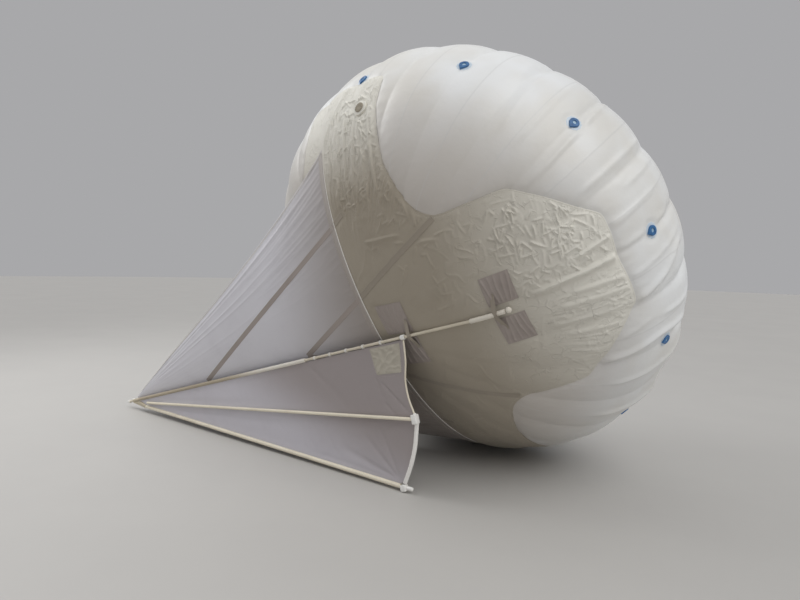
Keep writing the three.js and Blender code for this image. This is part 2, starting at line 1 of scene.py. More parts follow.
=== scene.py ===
"""The looks of a tethered aerostat: film, harness cloth, sails, spars and fittings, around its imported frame.

Sizes are in metres. Inside the flight frame +X points to the nose, +Z up, and the boom runs under the belly.
The keel's frame has its X axis forward along the boom from the tail tip, and its Z axis up to the boom.
"""

import logging
import math
from collections.abc import Callable, Sequence
from dataclasses import dataclass, field
from enum import Enum
from functools import cached_property
from typing import ClassVar

import bmesh
import bpy
import numpy as np
from mathutils import Matrix, Vector

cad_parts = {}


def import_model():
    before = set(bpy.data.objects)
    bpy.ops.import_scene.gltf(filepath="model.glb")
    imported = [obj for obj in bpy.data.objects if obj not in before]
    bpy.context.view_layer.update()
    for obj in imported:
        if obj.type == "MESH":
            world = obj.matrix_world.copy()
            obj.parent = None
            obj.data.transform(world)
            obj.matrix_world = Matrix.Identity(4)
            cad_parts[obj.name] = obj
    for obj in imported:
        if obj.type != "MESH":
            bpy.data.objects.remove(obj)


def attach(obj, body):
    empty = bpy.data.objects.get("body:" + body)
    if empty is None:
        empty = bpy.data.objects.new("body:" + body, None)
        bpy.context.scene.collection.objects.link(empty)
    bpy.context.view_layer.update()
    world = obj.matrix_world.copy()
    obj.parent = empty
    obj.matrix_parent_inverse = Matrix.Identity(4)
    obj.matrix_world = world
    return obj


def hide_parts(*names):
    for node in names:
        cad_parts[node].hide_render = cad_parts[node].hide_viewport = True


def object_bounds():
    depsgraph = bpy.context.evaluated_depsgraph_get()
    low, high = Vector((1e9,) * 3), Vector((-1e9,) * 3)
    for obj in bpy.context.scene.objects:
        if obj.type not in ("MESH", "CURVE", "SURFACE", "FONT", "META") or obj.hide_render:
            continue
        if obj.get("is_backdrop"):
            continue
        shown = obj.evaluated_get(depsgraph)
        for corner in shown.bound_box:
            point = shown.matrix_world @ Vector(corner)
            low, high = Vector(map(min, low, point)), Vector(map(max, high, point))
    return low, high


LOG = logging.getLogger("aerostat")
TURN = 2 * math.pi
# a way that no turned piece's line runs along
ASIDE = (0.3, 0.9, 0.1)

Array = np.ndarray
Material = bpy.types.Material
Piece = bpy.types.Object
Socket = bpy.types.NodeSocket
Pair = tuple[float, float]
Triple = tuple[float, float, float]
Colour = tuple[int, int, int]
Rows = tuple[tuple, ...]


class Body(Enum):
    """The bodies that a piece may ride on."""

    BALLOON = "balloon"
    KEEL = "keel"


class Slot(Enum):
    """The part's material slots."""

    FILM = "film"
    HARNESS = "harness_fabric"
    PATCH = "patch_fabric"
    SAIL = "sailcloth"
    ROD = "rod"
    FITTING = "fitting"
    BLUE = "loop_blue"


# Numbers


def unit(rows: Array) -> Array:
    """Rows of vectors at length one."""
    return rows / np.maximum(np.linalg.norm(rows, axis=-1, keepdims=True), 1e-12)


def ease(value: Array, low: float, high: float) -> Array:
    """A smooth ramp of a value: 0 at low, and 1 at high, which may be below low."""
    share = np.clip((value - low) / (high - low), 0, 1)
    return share * share * (3 - 2 * share)


def bell(value: Array, width: Array | float) -> Array:
    """A smooth bump: 1 where the value is 0, and next to nothing past twice the width."""
    return np.exp(-((value / width) ** 2))


def even_turn(sides: int) -> Array:
    """Angles evenly apart round a full turn."""
    return np.arange(sides) * TURN / sides


def turned_out(reach: Array | float, turn: Array) -> Array:
    """Places in a plane at a reach from its middle, one at each angle."""
    return np.stack([reach * np.cos(turn), reach * np.sin(turn)], -1)


@dataclass(frozen=True)
class Waves:
    """Smooth noise over a plane, the same on each run."""

    seed: int
    period: int = 256

    @cached_property
    def slopes(self) -> Array:
        """The direction of the slope at each lattice point, as an angle."""
        return np.random.default_rng(self.seed).uniform(0, TURN, (self.period, self.period))

    def smooth(self, first: Array, second: Array) -> Array:
        """Noise between about -1 and 1.

        Args:
            first: Places along the plane's first axis, in lattice cells.
            second: Places along its second axis.

        Returns:
            One number for each place.
        """
        cells = np.floor(first).astype(int), np.floor(second).astype(int)
        parts = first - cells[0], second - cells[1]
        fades = [part**3 * (part * (part * 6 - 15) + 10) for part in parts]

        def corner(right: int, up: int) -> Array:
            """The slope at one corner of each place's cell."""
            slope = self.slopes[(cells[0] + right) % self.period, (cells[1] + up) % self.period]
            return np.cos(slope) * (parts[0] - right) + np.sin(slope) * (parts[1] - up)

        low = corner(0, 0) * (1 - fades[0]) + corner(1, 0) * fades[0]
        high = corner(0, 1) * (1 - fades[0]) + corner(1, 1) * fades[0]
        return 1.5 * (low * (1 - fades[1]) + high * fades[1])

    def ridges(self, first: Array, second: Array, sharpness: float = 5) -> Array:
        """Thin raised lines between 0 and 1, where the noise crosses zero."""
        return (1 - np.minimum(np.abs(self.smooth(first, second)), 1)) ** sharpness

    def borders(self, first: Array, second: Array) -> Array:
        """How far places are from the borders of uneven cells, as a share of a cell: 0 on a border."""
        across, up = np.floor(first).astype(int), np.floor(second).astype(int)
        near, next_near = np.full(first.shape, 9.0), np.full(first.shape, 9.0)
        for cell in np.ndindex(3, 3):
            column, row = across + cell[0] - 1, up + cell[1] - 1
            turn = self.slopes[column % self.period, row % self.period]
            gap = column + 0.5 + 0.48 * np.cos(turn) - first, row + 0.5 + 0.48 * np.sin(turn) - second
            away = np.hypot(*gap)
            next_near = np.minimum(next_near, np.maximum(near, away))
            near = np.minimum(near, away)
        return (next_near - near) / 2


def lengths(line: Array) -> Array:
    """How far along a line each of its points is."""
    return np.concatenate([[0], np.cumsum(np.linalg.norm(np.diff(line, axis=0), axis=1))])


def linked(name: str, data: bpy.types.ID) -> Piece:
    """A new object with its data, in the scene."""
    made = bpy.data.objects.new(name, data)
    bpy.context.scene.collection.objects.link(made)
    return made


# Forms: points and faces in the making


@dataclass
class Form:
    """A mesh in the making: points, arrays of faces of one corner count each, flat places and tones."""

    points: Array
    faces: list[Array]
    places: list[Array]
    tones: list[int] = field(default_factory=list)

    def __post_init__(self) -> None:
        """Gives each array of faces the first material, unless it has one."""
        if not self.tones:
            self.tones = [0] * len(self.faces)

    def moved(self, change: Callable[[Array], Array]) -> "Form":
        """The same form with its points changed."""
        return Form(change(self.points), self.faces, self.places, self.tones)

    @classmethod
    def joined(cls, forms: Sequence["Form"]) -> "Form":
        """Several forms as one."""
        faces, places, tones = [], [], []
        count = 0
        for form in forms:
            faces += [each + count for each in form.faces]
            places += form.places
            tones += form.tones
            count += len(form.points)
        return cls(np.vstack([form.points for form in forms]), faces, places, tones)

    def volume(self) -> float:
        """The volume inside, below zero where the faces point in."""
        total = 0.0
        for each in self.faces:
            corners = self.points[each]
            for k in range(1, each.shape[1] - 1):
                crossed = np.cross(corners[:, k], corners[:, k + 1])
                total += float((corners[:, 0] * crossed).sum())
        return total / 6

    def outward(self) -> "Form":
        """The same closed form with its faces pointing out."""
        if self.volume() > 0:
            return self
        faces = [each[:, ::-1] for each in self.faces]
        places = [each[:, ::-1] for each in self.places]
        return Form(self.points, faces, places, self.tones)

    def charted(self, first: int, second: int) -> "Form":
        """The same form, with two of the numbers of its points as the flat places of its first faces."""
        self.places[0] = self.points[self.faces[0]][..., [first, second]]
        return self

    def piece(self, name: str, materials: Sequence[Material], sharp: float = 40) -> Piece:
        """Makes the object.

        Args:
            name: Its name.
            materials: Its materials, which the tones count.
            sharp: The angle in degrees past which an edge is left sharp.

        Returns:
            The object, at the origin, with its place in its mesh.
        """
        mesh = bpy.data.meshes.new(name)
        mesh.vertices.add(len(self.points))
        mesh.vertices.foreach_set("co", self.points.astype(np.float32).ravel())
        sizes = np.concatenate([np.full(len(each), each.shape[1]) for each in self.faces])
        mesh.loops.add(int(sizes.sum()))
        mesh.loops.foreach_set("vertex_index", np.concatenate([each.ravel() for each in self.faces]))
        mesh.polygons.add(len(sizes))
        mesh.polygons.foreach_set("loop_start", np.concatenate([[0], np.cumsum(sizes)[:-1]]))
        tones = np.concatenate([np.full(len(f), tone) for f, tone in zip(self.faces, self.tones)])
        mesh.polygons.foreach_set("material_index", tones)
        mesh.update(calc_edges=True)
        flat = mesh.uv_layers.new(name="cloth")
        flat.data.foreach_set("uv", np.concatenate([each.reshape(-1) for each in self.places]))
        mesh.validate()
        mesh.shade_smooth()
        mesh.set_sharp_from_angle(angle=math.radians(sharp))
        for material in materials:
            mesh.materials.append(material)
        return linked(name, mesh)


def grid_faces(rows: int, columns: int, wrapped: bool) -> Array:
    """The quads of a grid of points, row after row. Wrapped, the last point of a row joins the first."""
    row, column = np.indices((rows - 1, columns if wrapped else columns - 1))
    following = (column + 1) % columns
    corners = [row * columns + column, row * columns + following]
    corners += [(row + 1) * columns + following, (row + 1) * columns + column]
    return np.stack(corners, -1).reshape(-1, 4)


def grid_places(across: Array, along: Array) -> Array:
    """The flat places of a grid's quads, from the places of its columns and rows."""
    row, column = np.indices((len(along) - 1, len(across) - 1))
    corners = [(column, row), (column + 1, row), (column + 1, row + 1), (column, row + 1)]
    return np.stack([np.stack([across[c], along[r]], -1) for c, r in corners], -2).reshape(-1, 4, 2)


def ringed(
    rings: Array,
    across: Array | None = None,
    along: Array | None = None,
    closed: bool = False,
    poles: Array | None = None,
    ends: Sequence[Array] = (),
) -> Form:
    """A tube through rings of points, with a fan of faces over each end, or with its end joined to its start.

    Args:
        rings: The points, ring after ring.
        across: The flat places round a ring, one more than its points, or nothing to leave them out.
        along: The flat places of the rings, one more where the last joins the first.
        closed: Whether the last ring joins the first.
        poles: The middles of the two fans, where they aren't those of the end rings.
        ends: The flat places of the two fans.

    Returns:
        The closed form.
    """
    count, sides = rings.shape[:2]
    points = rings.reshape(-1, 3)
    faces = [grid_faces(count + closed, sides, True) % len(points)]
    places = [np.zeros((*faces[0].shape, 2)) if across is None else grid_places(across, along)]
    if not closed:
        here = np.arange(sides)
        following, last = (here + 1) % sides, len(points) - sides
        faces.append(np.stack([following, here, np.full(sides, len(points))], -1))
        faces.append(np.stack([last + here, last + following, np.full(sides, len(points) + 1)], -1))
        places += ends or [np.zeros((sides, 3, 2))] * 2
        points = np.vstack([points, rings[[0, -1]].mean(1) if poles is None else poles])
    return Form(points, faces, places).outward()


def swept(
    path: Array,
    ups: Array,
    section: Array,
    scale: Array | float = 1.0,
    closed: bool = False,
) -> Form:
    """A closed section drawn along a path.

    Args:
        path: The points of the path.
        ups: Which way is up at each of them, or one way for all.
        section: The section's points, as places sideways and up.
        scale: The section's size at each point of the path.
        closed: Whether the path's end joins its start.

    Returns:
        The form, with its flat places in metres round the section and along the path.
    """
    way = unit(np.roll(path, -1, 0) - np.roll(path, 1, 0) if closed else np.gradient(path, axis=0))
    side = unit(np.cross(way, np.broadcast_to(ups, path.shape)))
    up = np.cross(side, way)
    size = np.broadcast_to(scale, (len(path),))[:, None, None]
    ring = section[None, :, :1] * side[:, None] + section[None, :, 1:] * up[:, None]
    across = lengths(np.vstack([section, section[:1]]))
    along = lengths(np.vstack([path, path[:1]]) if closed else path)
    return ringed(path[:, None] + size * ring, across, along, closed)


def round_section(radius: float, sides: int) -> Array:
    """A round section."""
    return turned_out(radius, even_turn(sides))


def flat_section(width: float, height: float, ribs: float = 0.0) -> Array:
    """A flat band's section: rounded edges, its bottom at 0, and a raised rib along each edge."""
    half, edge = width / 2, min(width / 5, 0.004)
    right = [(half - edge * 0.3, 0), (half, height * 0.5), (half - edge * 0.4, height + ribs)]
    right += [(half - edge, height + ribs), (half - 1.7 * edge, height)]
    return np.array(right + [(-side, up) for side, up in reversed(right)])


def hem_section(width: float, height: float) -> Array:
    """A rolled hem's section: half round on top, flat below."""
    turn = np.linspace(0, math.pi, 8)
    return np.stack([width / 2 * np.cos(turn), height * np.sin(turn)], -1)


def turned(
    profile: Sequence[Pair],
    start: Array,
    way: Array,
    sides: int = 32,
) -> Form:
    """A profile turned about a line.

    Args:
        profile: Places along the line and radii. It closes on itself, or starts and ends on the line.
        start: The line's point where along is 0.
        way: The line's direction.
        sides: The number of faces round it.

    Returns:
        The closed form.
    """
    rows = np.array(profile, float)
    solid = rows[0, 1] == 0
    body = rows[1:-1] if solid else rows
    way = unit(np.asarray(way, float))
    side = unit(np.cross(way, ASIDE))
    turn = even_turn(sides)
    spokes = np.cos(turn)[:, None] * side + np.sin(turn)[:, None] * np.cross(way, side)
    rings = start + body[:, None, :1] * way + body[:, None, 1:] * spokes
    across = np.arange(sides + 1) * TURN * float(body[:, 1].max()) / sides
    along = lengths(body if solid else np.vstack([body, body[:1]]))
    return ringed(rings, across, along, not solid, start + rows[[0, -1], :1] * way)


def block(size: Sequence[float], bevel: float) -> Form:
    """A box about the origin with rounded edges."""
    shape = bmesh.new()
    bmesh.ops.create_cube(shape, size=1)
    bmesh.ops.scale(shape, vec=size, verts=shape.verts)
    bmesh.ops.bevel(shape, geom=shape.edges[:], offset=bevel, segments=3, profile=0.5, affect="EDGES")
    bmesh.ops.triangulate(shape, faces=shape.faces[:], quad_method="FIXED")
    points = np.array([vertex.co for vertex in shape.verts])
    faces = np.array([[vertex.index for vertex in face.verts] for face in shape.faces])
    shape.free()
    return Form(points, [faces], [points[faces][:, :, :2]]).outward()


def vertex_normals(points: Array, faces: Array) -> Array:
    """The normal at each point of a surface of triangles."""
    corners = points[faces]
    normal = np.cross(corners[:, 1] - corners[:, 0], corners[:, 2] - corners[:, 0])
    total = np.zeros_like(points)
    for k in range(3):
        np.add.at(total, faces[:, k], normal)
    return unit(total)


def surface_area(points: Array, faces: Array) -> float:
    """The area of a surface of triangles."""
    corners = points[faces]
    crossed = np.cross(corners[:, 1] - corners[:, 0], corners[:, 2] - corners[:, 0])
    return float(np.linalg.norm(crossed, axis=1).sum() / 2)


def thickened(points: Array, faces: Array, flat: Array, thickness: float) -> Form:
    """A sheet with both its faces and a strip round its edge.

    Args:
        points: The points of the sheet's middle.
        faces: Its triangles.
        flat: The place of each point in the flat cloth.
        thickness: From face to face.

    Returns:
        The closed form.
    """
    half = vertex_normals(points, faces) * thickness / 2
    count = len(points)
    edges = np.vstack([faces[:, [0, 1]], faces[:, [1, 2]], faces[:, [2, 0]]])
    known = {(int(a), int(b)) for a, b in edges}
    rim = np.array([(a, b) for a, b in known if (b, a) not in known])
    rim = rim[np.lexsort((rim[:, 1], rim[:, 0]))]
    strip = np.stack([rim[:, 0], rim[:, 0] + count, rim[:, 1] + count, rim[:, 1]], -1)
    places = np.vstack([flat, flat])
    parts = [faces, faces[:, ::-1] + count, strip]
    return Form(np.vstack([points + half, points - half]), parts, [places[each] for each in parts])


@dataclass(frozen=True)
class Outline:
    """A closed line in a plane, as its corners in order."""

    corners: Array

    def measure(self, points: Array) -> tuple[Array, Array, Array]:
        """How points lie to the line.

        Args:
            points: Places in the plane.

        Returns:
            The distance to the line, above zero inside it, the nearest point on it, and how far along it
            that is.
        """
        start = self.corners
        end = np.roll(start, -1, 0)
        way = end - start
        squared = np.maximum((way**2).sum(1), 1e-12)
        before = np.concatenate([[0], np.cumsum(np.sqrt(squared))[:-1]])
        results = []
        for some in np.array_split(points, max(1, len(points) // 4000)):
            offset = some[:, None] - start
            share = np.clip((offset * way).sum(-1) / squared, 0, 1)
            gaps = np.linalg.norm(offset - share[..., None] * way, axis=-1)
            best = gaps.argmin(1)
            row = np.arange(len(some))
            level = some[:, None, 1]
            crossing = (start[:, 1] > level) != (end[:, 1] > level)
            rise = np.where(np.abs(way[:, 1]) < 1e-12, 1e-12, way[:, 1])
            beyond = some[:, None, 0] < start[:, 0] + (level - start[:, 1]) / rise * way[:, 0]
            inside = (crossing & beyond).sum(1) % 2 == 1
            nearest = start[best] + share[row, best, None] * way[best]
            along = before[best] + share[row, best] * np.sqrt(squared[best])
            results.append((np.where(inside, 1, -1) * gaps[row, best], nearest, along))
        return tuple(np.concatenate([each[k] for each in results]) for k in range(3))

    def softened(self, step: float, reach: float) -> "Outline":
        """The same line in even steps, with its corners rounded over a reach to each side."""
        closed = np.vstack([self.corners, self.corners[:1]])
        length = lengths(closed)
        place = np.linspace(0, length[-1], int(length[-1] / step), endpoint=False)
        line = np.stack([np.interp(place, length, closed[:, k]) for k in range(2)], -1)
        half = max(1, round(reach / step))
        weights = np.hanning(2 * half + 3)[1:-1]
        spread = np.vstack([line[-half:], line, line[:half]])
        rounded = [np.convolve(spread[:, k], weights / weights.sum(), "valid") for k in range(2)]
        return Outline(np.stack(rounded, -1))

    def filled(self, spacing: float, sharp: Sequence[Sequence[float]] = ()) -> tuple[Array, Array]:
        """Even triangles that fill the line, the outer ones drawn onto it.

        Args:
            spacing: The length of a triangle's side.
            sharp: Corners that the line keeps.

        Returns:
            The places of the points, and the triangles.
        """
        low = self.corners.min(0) - 2 * spacing
        span = self.corners.max(0) - low + 2 * spacing
        tall = spacing * math.sqrt(3) / 2
        columns, rows = int(span[0] / spacing) + 2, int(span[1] / tall) + 2
        row, column = np.indices((rows, columns))
        across = low[0] + (column + 0.5 * (row % 2)) * spacing
        flat = np.stack([across, low[1] + row * tall], -1).reshape(-1, 2)
        gap, nearest, _ = self.measure(flat)
        rim = np.abs(gap) < 0.5 * spacing
        flat[rim] = nearest[rim]
        for corner in sharp:
            chosen = np.flatnonzero(rim)
            flat[chosen[((flat[chosen] - corner) ** 2).sum(1).argmin()]] = corner
        at = row * columns + column
        here, right, above, beyond = at[:-1, :-1], at[:-1, 1:], at[1:, :-1], at[1:, 1:]
        even = (row[:-1, :-1] % 2 == 0)[..., None]
        first = np.where(even, np.stack([here, right, above], -1), np.stack([here, beyond, above], -1))
        second = np.where(even, np.stack([right, beyond, above], -1), np.stack([here, right, beyond], -1))
        faces = np.vstack([first.reshape(-1, 3), second.reshape(-1, 3)])
        faces = faces[(gap > -0.5 * spacing)[faces].all(1)]
        corners = flat[faces]
        edges = corners[:, 1:] - corners[:, :1]
        size = edges[:, 0, 0] * edges[:, 1, 1] - edges[:, 0, 1] * edges[:, 1, 0]
        middle = self.measure(corners.mean(1))[0]
        faces = faces[(size > 0.02 * spacing**2) & (middle > 0)]
        used, again = np.unique(faces, return_inverse=True)
        return flat[used], again.reshape(-1, 3)


# The frames and the envelope's skin


@dataclass(frozen=True)
class Skin:
    """The even surface of the envelope, an oblate body of gores."""

    radius: float = 1.598
    top: float = 1.055
    belly: float = 1.020
    gores: int = 26
    first_seam: float = math.radians(-1.3)
    bulge: float = 0.019
    cusp: float = 0.75

    def off_seam(self, azimuth: Array) -> Array:
        """How far places are from a seam: 0 on it, 1 halfway to the next."""
        return np.abs(np.sin(self.gores / 2 * (azimuth - self.first_seam)))

    def swell(self, azimuth: Array, latitude: Array) -> Array:
        """How far a gore stands out between its seams."""
        return self.bulge * self.off_seam(azimuth) ** self.cusp * np.cos(latitude) ** 2

    def normal(self, azimuth: Array, latitude: Array) -> Array:
        """The way out of the skin, seams apart."""
        height = np.where(latitude < 0, self.belly, self.top)
        flat = np.cos(latitude) / self.radius
        return unit(np.stack([flat * np.cos(azimuth), flat * np.sin(azimuth), np.sin(latitude) / height], -1))

    def point(self, azimuth: Array, latitude: Array, offset: Array | float = 0.0) -> Array:
        """Points at azimuths from the nose and latitudes from the rim in radians, standing out by offset."""
        height = np.where(latitude < 0, self.belly, self.top)
        flat = self.radius * np.cos(latitude)
        at = np.stack([flat * np.cos(azimuth), flat * np.sin(azimuth), height * np.sin(latitude)], -1)
        return at + self.normal(azimuth, latitude) * (self.swell(azimuth, latitude) + offset)[..., None]

    def depth(self, x: Array | float, y: Array | float) -> Array:
        """How far below the rim the belly is, at a place in plan."""
        return self.belly * np.sqrt(np.maximum(1 - (np.square(x) + np.square(y)) / self.radius**2, 0))

    @cached_property
    def meridian(self) -> tuple[Array, Array]:
        """Latitudes from the belly's middle up to the rim, and how far along the skin each is."""
        latitude = np.linspace(-math.pi / 2, 0, 2001)
        slope = np.hypot(self.radius * np.sin(latitude), self.belly * np.cos(latitude))
        steps = (slope[1:] + slope[:-1]) / 2 * np.diff(latitude)
        return latitude, np.concatenate([[0], np.cumsum(steps)])

    def polar(self, chart: Array) -> tuple[Array, Array]:
        """The azimuth and latitude of places on the belly's chart, which has true lengths along meridians."""
        latitude, arc = self.meridian
        reach = np.hypot(chart[..., 0], chart[..., 1])
        return np.arctan2(chart[..., 1], chart[..., 0]), np.interp(reach, arc, latitude)

    def chart(self, azimuth: Array, latitude: Array) -> Array:
        """Places on the belly's chart."""
        known, arc = self.meridian
        return turned_out(np.interp(np.minimum(latitude, 0), known, arc), azimuth)

    def chart_of_plan(self, plan: Array) -> Array:
        """The same for places seen from below, which are x and y."""
        reach = np.minimum(np.hypot(plan[..., 0], plan[..., 1]) / self.radius, 1)
        return self.chart(np.arctan2(plan[..., 1], plan[..., 0]), -np.arccos(reach))

    def plan_of_chart(self, chart: Array) -> Array:
        """Places seen from below, from places on the chart."""
        azimuth, latitude = self.polar(chart)
        return turned_out(self.radius * np.cos(latitude), azimuth)

    def on_chart(self, chart: Array, offset: Array | float = 0.0) -> Array:
        """Points on the belly at places of its chart."""
        azimuth, latitude = self.polar(chart)
        return self.point(azimuth, latitude, np.broadcast_to(offset, azimuth.shape))

    def chart_normal(self, chart: Array) -> Array:
        """The way out of the belly at places of its chart."""
        return self.normal(*self.polar(chart))

    def kept_off(self, points: Array, offset: float) -> Array:
        """Points of the flight frame, drawn out where they would be nearer the belly's skin than offset."""
        scale = np.array([self.radius + offset, self.radius + offset, self.belly + offset])
        share = np.linalg.norm(points / scale, axis=-1, keepdims=True)
        return points / np.minimum(np.maximum(share, 1e-6), 1)


@dataclass(frozen=True)
class Boom:
    """The boom's line under the belly, in the flight frame."""

    skin: Skin
    dip: float = math.radians(12.34)
    collar_x: float = 0.204
    collar_standoff: float = 0.040
    keel_top: float = 3.471
    bend_start: float = 3.990
    bend_knee: float = 4.110
    end_x: float = 0.931
    end_standoff: float = 0.036
    radius: float = 0.010
    end_radius: float = 0.015

    @property
    def way(self) -> Array:
        """The boom's direction forward."""
        return np.array([math.cos(self.dip), 0, math.sin(self.dip)])

    @property
    def up(self) -> Array:
        """Square to the boom, up to the belly."""
        return np.array([-math.sin(self.dip), 0, math.cos(self.dip)])

    @property
    def tip(self) -> Array:
        """The tail tip."""
        return self.under(self.collar_x, self.collar_standoff) - self.keel_top * self.way

    def under(self, x: float, standoff: float) -> Array:
        """The point that stands off the belly's middle line at a place ahead."""
        return np.array([x, 0, -float(self.skin.depth(x, 0)) - standoff])

    def at(self, along: float | Array) -> Array:
        """A point on the boom's straight run."""
        return self.tip + np.multiply.outer(along, self.way)

    def front(self, share: Array) -> Array:
        """Points on its bent front end, from 0 at the bend's start to 1 at the nose."""
        start, knee = self.at(self.bend_start), self.at(self.bend_knee)
        end = self.under(self.end_x, self.end_standoff)
        part = np.asarray(share)[..., None]
        return (1 - part) ** 2 * start + 2 * part * (1 - part) * knee + part**2 * end

    def height(self, x: float) -> float:
        """The height of the boom's middle at a place ahead of the envelope's centre."""
        straight = self.at(self.bend_start)
        if x <= straight[0]:
            return float(self.at((x - self.tip[0]) / self.way[0])[2])
        line = self.front(np.linspace(0, 1, 200))
        return float(np.interp(x, line[:, 0], line[:, 2]))


@dataclass(frozen=True)
class Lie:
    """How the flight frame and the keel's frame lie in the part's own frame."""

    boom: Boom
    rise: float = math.radians(16.1)
    roll: float = math.radians(-62.5)

    @cached_property
    def turn(self) -> Array:
        """The flight frame's axes, as columns."""
        rise = Matrix.Rotation(-self.rise, 3, "Y")
        roll = Matrix.Rotation(self.roll, 3, "X")
        return np.array(rise @ roll @ Matrix.Rotation(self.boom.dip, 3, "Y"))

    def flight(self, points: Array) -> Array:
        """Points or ways of the flight frame, in the part's own frame."""
        return np.asarray(points) @ self.turn.T

    @cached_property
    def keel_turn(self) -> Array:
        """The keel frame's axes, as columns."""
        return np.array(Matrix.Rotation(-self.rise, 3, "Y"))

    def keel_way(self, ways: Array) -> Array:
        """Ways of the keel's frame, in the part's own frame."""
        return np.asarray(ways) @ self.keel_turn.T

    def keel(self, points: Array) -> Array:
        """Points of the keel's frame, which are along the boom, sideways and up, in the part's own frame."""
        return self.flight(self.boom.tip) + self.keel_way(points)


def through(points: Sequence[Sequence[float]], count: int) -> Array:
    """A smooth curve through points.

    Args:
        points: Its points in order.
        count: How many points the curve gets.

    Returns:
        Points on the curve, evenly apart.
    """
    knots = np.array(points, float)
    place = lengths(knots)
    slope = np.gradient(knots, place, axis=0)
    at = np.linspace(0, place[-1], count)
    k = np.clip(np.searchsorted(place, at, side="right") - 1, 0, len(place) - 2)
    span = (place[k + 1] - place[k])[:, None]
    t = (at - place[k])[:, None] / span
    start = (2 * t**3 - 3 * t**2 + 1) * knots[k] + (t**3 - 2 * t**2 + t) * span * slope[k]
    return start + (3 * t**2 - 2 * t**3) * knots[k + 1] + (t**3 - t**2) * span * slope[k + 1]


# Shaders


def tint(red: int, green: int, blue: int) -> tuple[float, float, float, float]:
    """A colour from its 0 to 255 values, as a shader takes it."""
    shares = [value / 255 for value in (red, green, blue)]
    linear = [s / 12.92 if s <= 0.04045 else ((s + 0.055) / 1.055) ** 2.4 for s in shares]
    return (*linear, 1.0)


def math_node(operation: str, flipped: bool = False) -> Callable[..., "Term"]:
    """A method of Term that adds one Math node.

    Args:
        operation: What the node works out.
        flipped: Whether the other number comes first.

    Returns:
        The method.
    """

    def method(self: "Term", other: "Term | float" = 0.0) -> "Term":
        """Adds the node."""
        values = {0: other, 1: self} if flipped else {0: self, 1: other}
        return Term(self.shader, self.shader.node("ShaderNodeMath", values, operation=operation))

    return method


@dataclass(frozen=True)
class Term:
    """A value in a shader: an output that holds one number. Arithmetic on it adds Math nodes."""

    shader: "Shader"
    socket: Socket

    __add__ = __radd__ = math_node("ADD")
    __sub__ = math_node("SUBTRACT")
    __rsub__ = math_node("SUBTRACT", flipped=True)
    __mul__ = __rmul__ = math_node("MULTIPLY")
    __truediv__ = math_node("DIVIDE")
    __pow__ = math_node("POWER")
    __abs__ = math_node("ABSOLUTE")
    fraction = math_node("FRACT")
    at_most = math_node("MINIMUM")
    at_least = math_node("MAXIMUM")


class Nodes:
    """A tree of nodes in the making."""

    tree: bpy.types.NodeTree

    def node(
        self,
        kind: str,
        values: dict[str | int, object] | None = None,
        output: str | int = 0,
        **settings: object,
    ) -> Socket:
        """Adds a node and gives one of its outputs.

        Args:
            kind: The node's type.
            values: Links or values of its sockets, by name or number.
            output: The output's name or number.
            **settings: The node's own settings, which are set first.

        Returns:
            The output.
        """
        made = self.tree.nodes.new(kind)
        for name, value in settings.items():
            setattr(made, name, value)
        for key, value in (values or {}).items():
            self.feed(made.inputs[key], value)
        return made.outputs[output]

    def feed(self, socket: Socket, value: object) -> None:
        """Links a socket, or sets it."""
        value = value.socket if isinstance(value, Term) else value
        if isinstance(value, Socket):
            self.tree.links.new(value, socket)
        else:
            socket.default_value = value


class Shader(Nodes):
    """A material in the making, with one Principled surface."""

    def __init__(self, name: str) -> None:
        """Starts an empty material."""
        self.material = bpy.data.materials.new(name)
        self.material.use_nodes = True
        self.tree = self.material.node_tree
        self.tree.nodes.clear()
        self.surface = self.tree.nodes.new("ShaderNodeBsdfPrincipled")
        output = self.tree.nodes.new("ShaderNodeOutputMaterial")
        self.tree.links.new(self.surface.outputs[0], output.inputs["Surface"])

    def cloth_place(self) -> tuple[Term, Term, Socket]:
        """The place in the flat cloth: across, along, and both as a vector."""
        both = self.node("ShaderNodeUVMap", uv_map="cloth")
        parts = self.node("ShaderNodeSeparateXYZ", {0: both}).node.outputs
        return Term(self, parts[0]), Term(self, parts[1]), both

    def body_place(self, stretch: Triple = (1, 1, 1)) -> Socket:
        """The place in the part's own frame, stretched along its axes."""
        place = self.node("ShaderNodeTexCoord", output="Object")
        return self.node("ShaderNodeMapping", {"Vector": place, "Scale": stretch})

    def noise(self, place: Socket, size: float, detail: float = 4, rough: float = 0.55) -> Term:
        """Noise between 0 and 1 whose blotches have a given size in metres."""
        values = {"Vector": place, "Scale": 1 / size, "Detail": detail, "Roughness": rough}
        return Term(self, self.node("ShaderNodeTexNoise", values, noise_dimensions="3D"))

    def ramp(self, term: Term, low: float, high: float) -> Term:
        """A smooth ramp of a value, from 0 at low to 1 at high."""
        values = {"Value": term, "From Min": low, "From Max": high}
        return Term(self, self.node("ShaderNodeMapRange", values, interpolation_type="SMOOTHSTEP"))

    def line(self, place: Term, pitch: float, width: float) -> Term:
        """Thin lines across a place, 1 in their middle and 0 past their width."""
        off = abs((place / pitch).fraction() - 0.5)
        return self.ramp(off, 0.5 - width / pitch / 2, 0.5)

    def colour(self, factor: Term, first: Socket | Colour, second: Socket | Colour) -> Socket:
        """A colour between two."""
        ends = [tint(*end) if isinstance(end, tuple) else end for end in (first, second)]
        return self.node("ShaderNodeMix", {0: factor, 6: ends[0], 7: ends[1]}, 2, data_type="RGBA")

    def bump(self, height: Term, depth: float, strength: float) -> Socket:
        """A normal from a height between 0 and 1, which stands for a depth in metres."""
        return self.node("ShaderNodeBump", {"Height": height, "Distance": depth, "Strength": strength})

    def finished(self, **sockets: object) -> Material:
        """Sets the surface's sockets, whose names have _ for a space, and gives the material."""
        for name, value in sockets.items():
            self.feed(self.surface.inputs[name.replace("_", " ").title().replace("Ior", "IOR")], value)
        return self.material


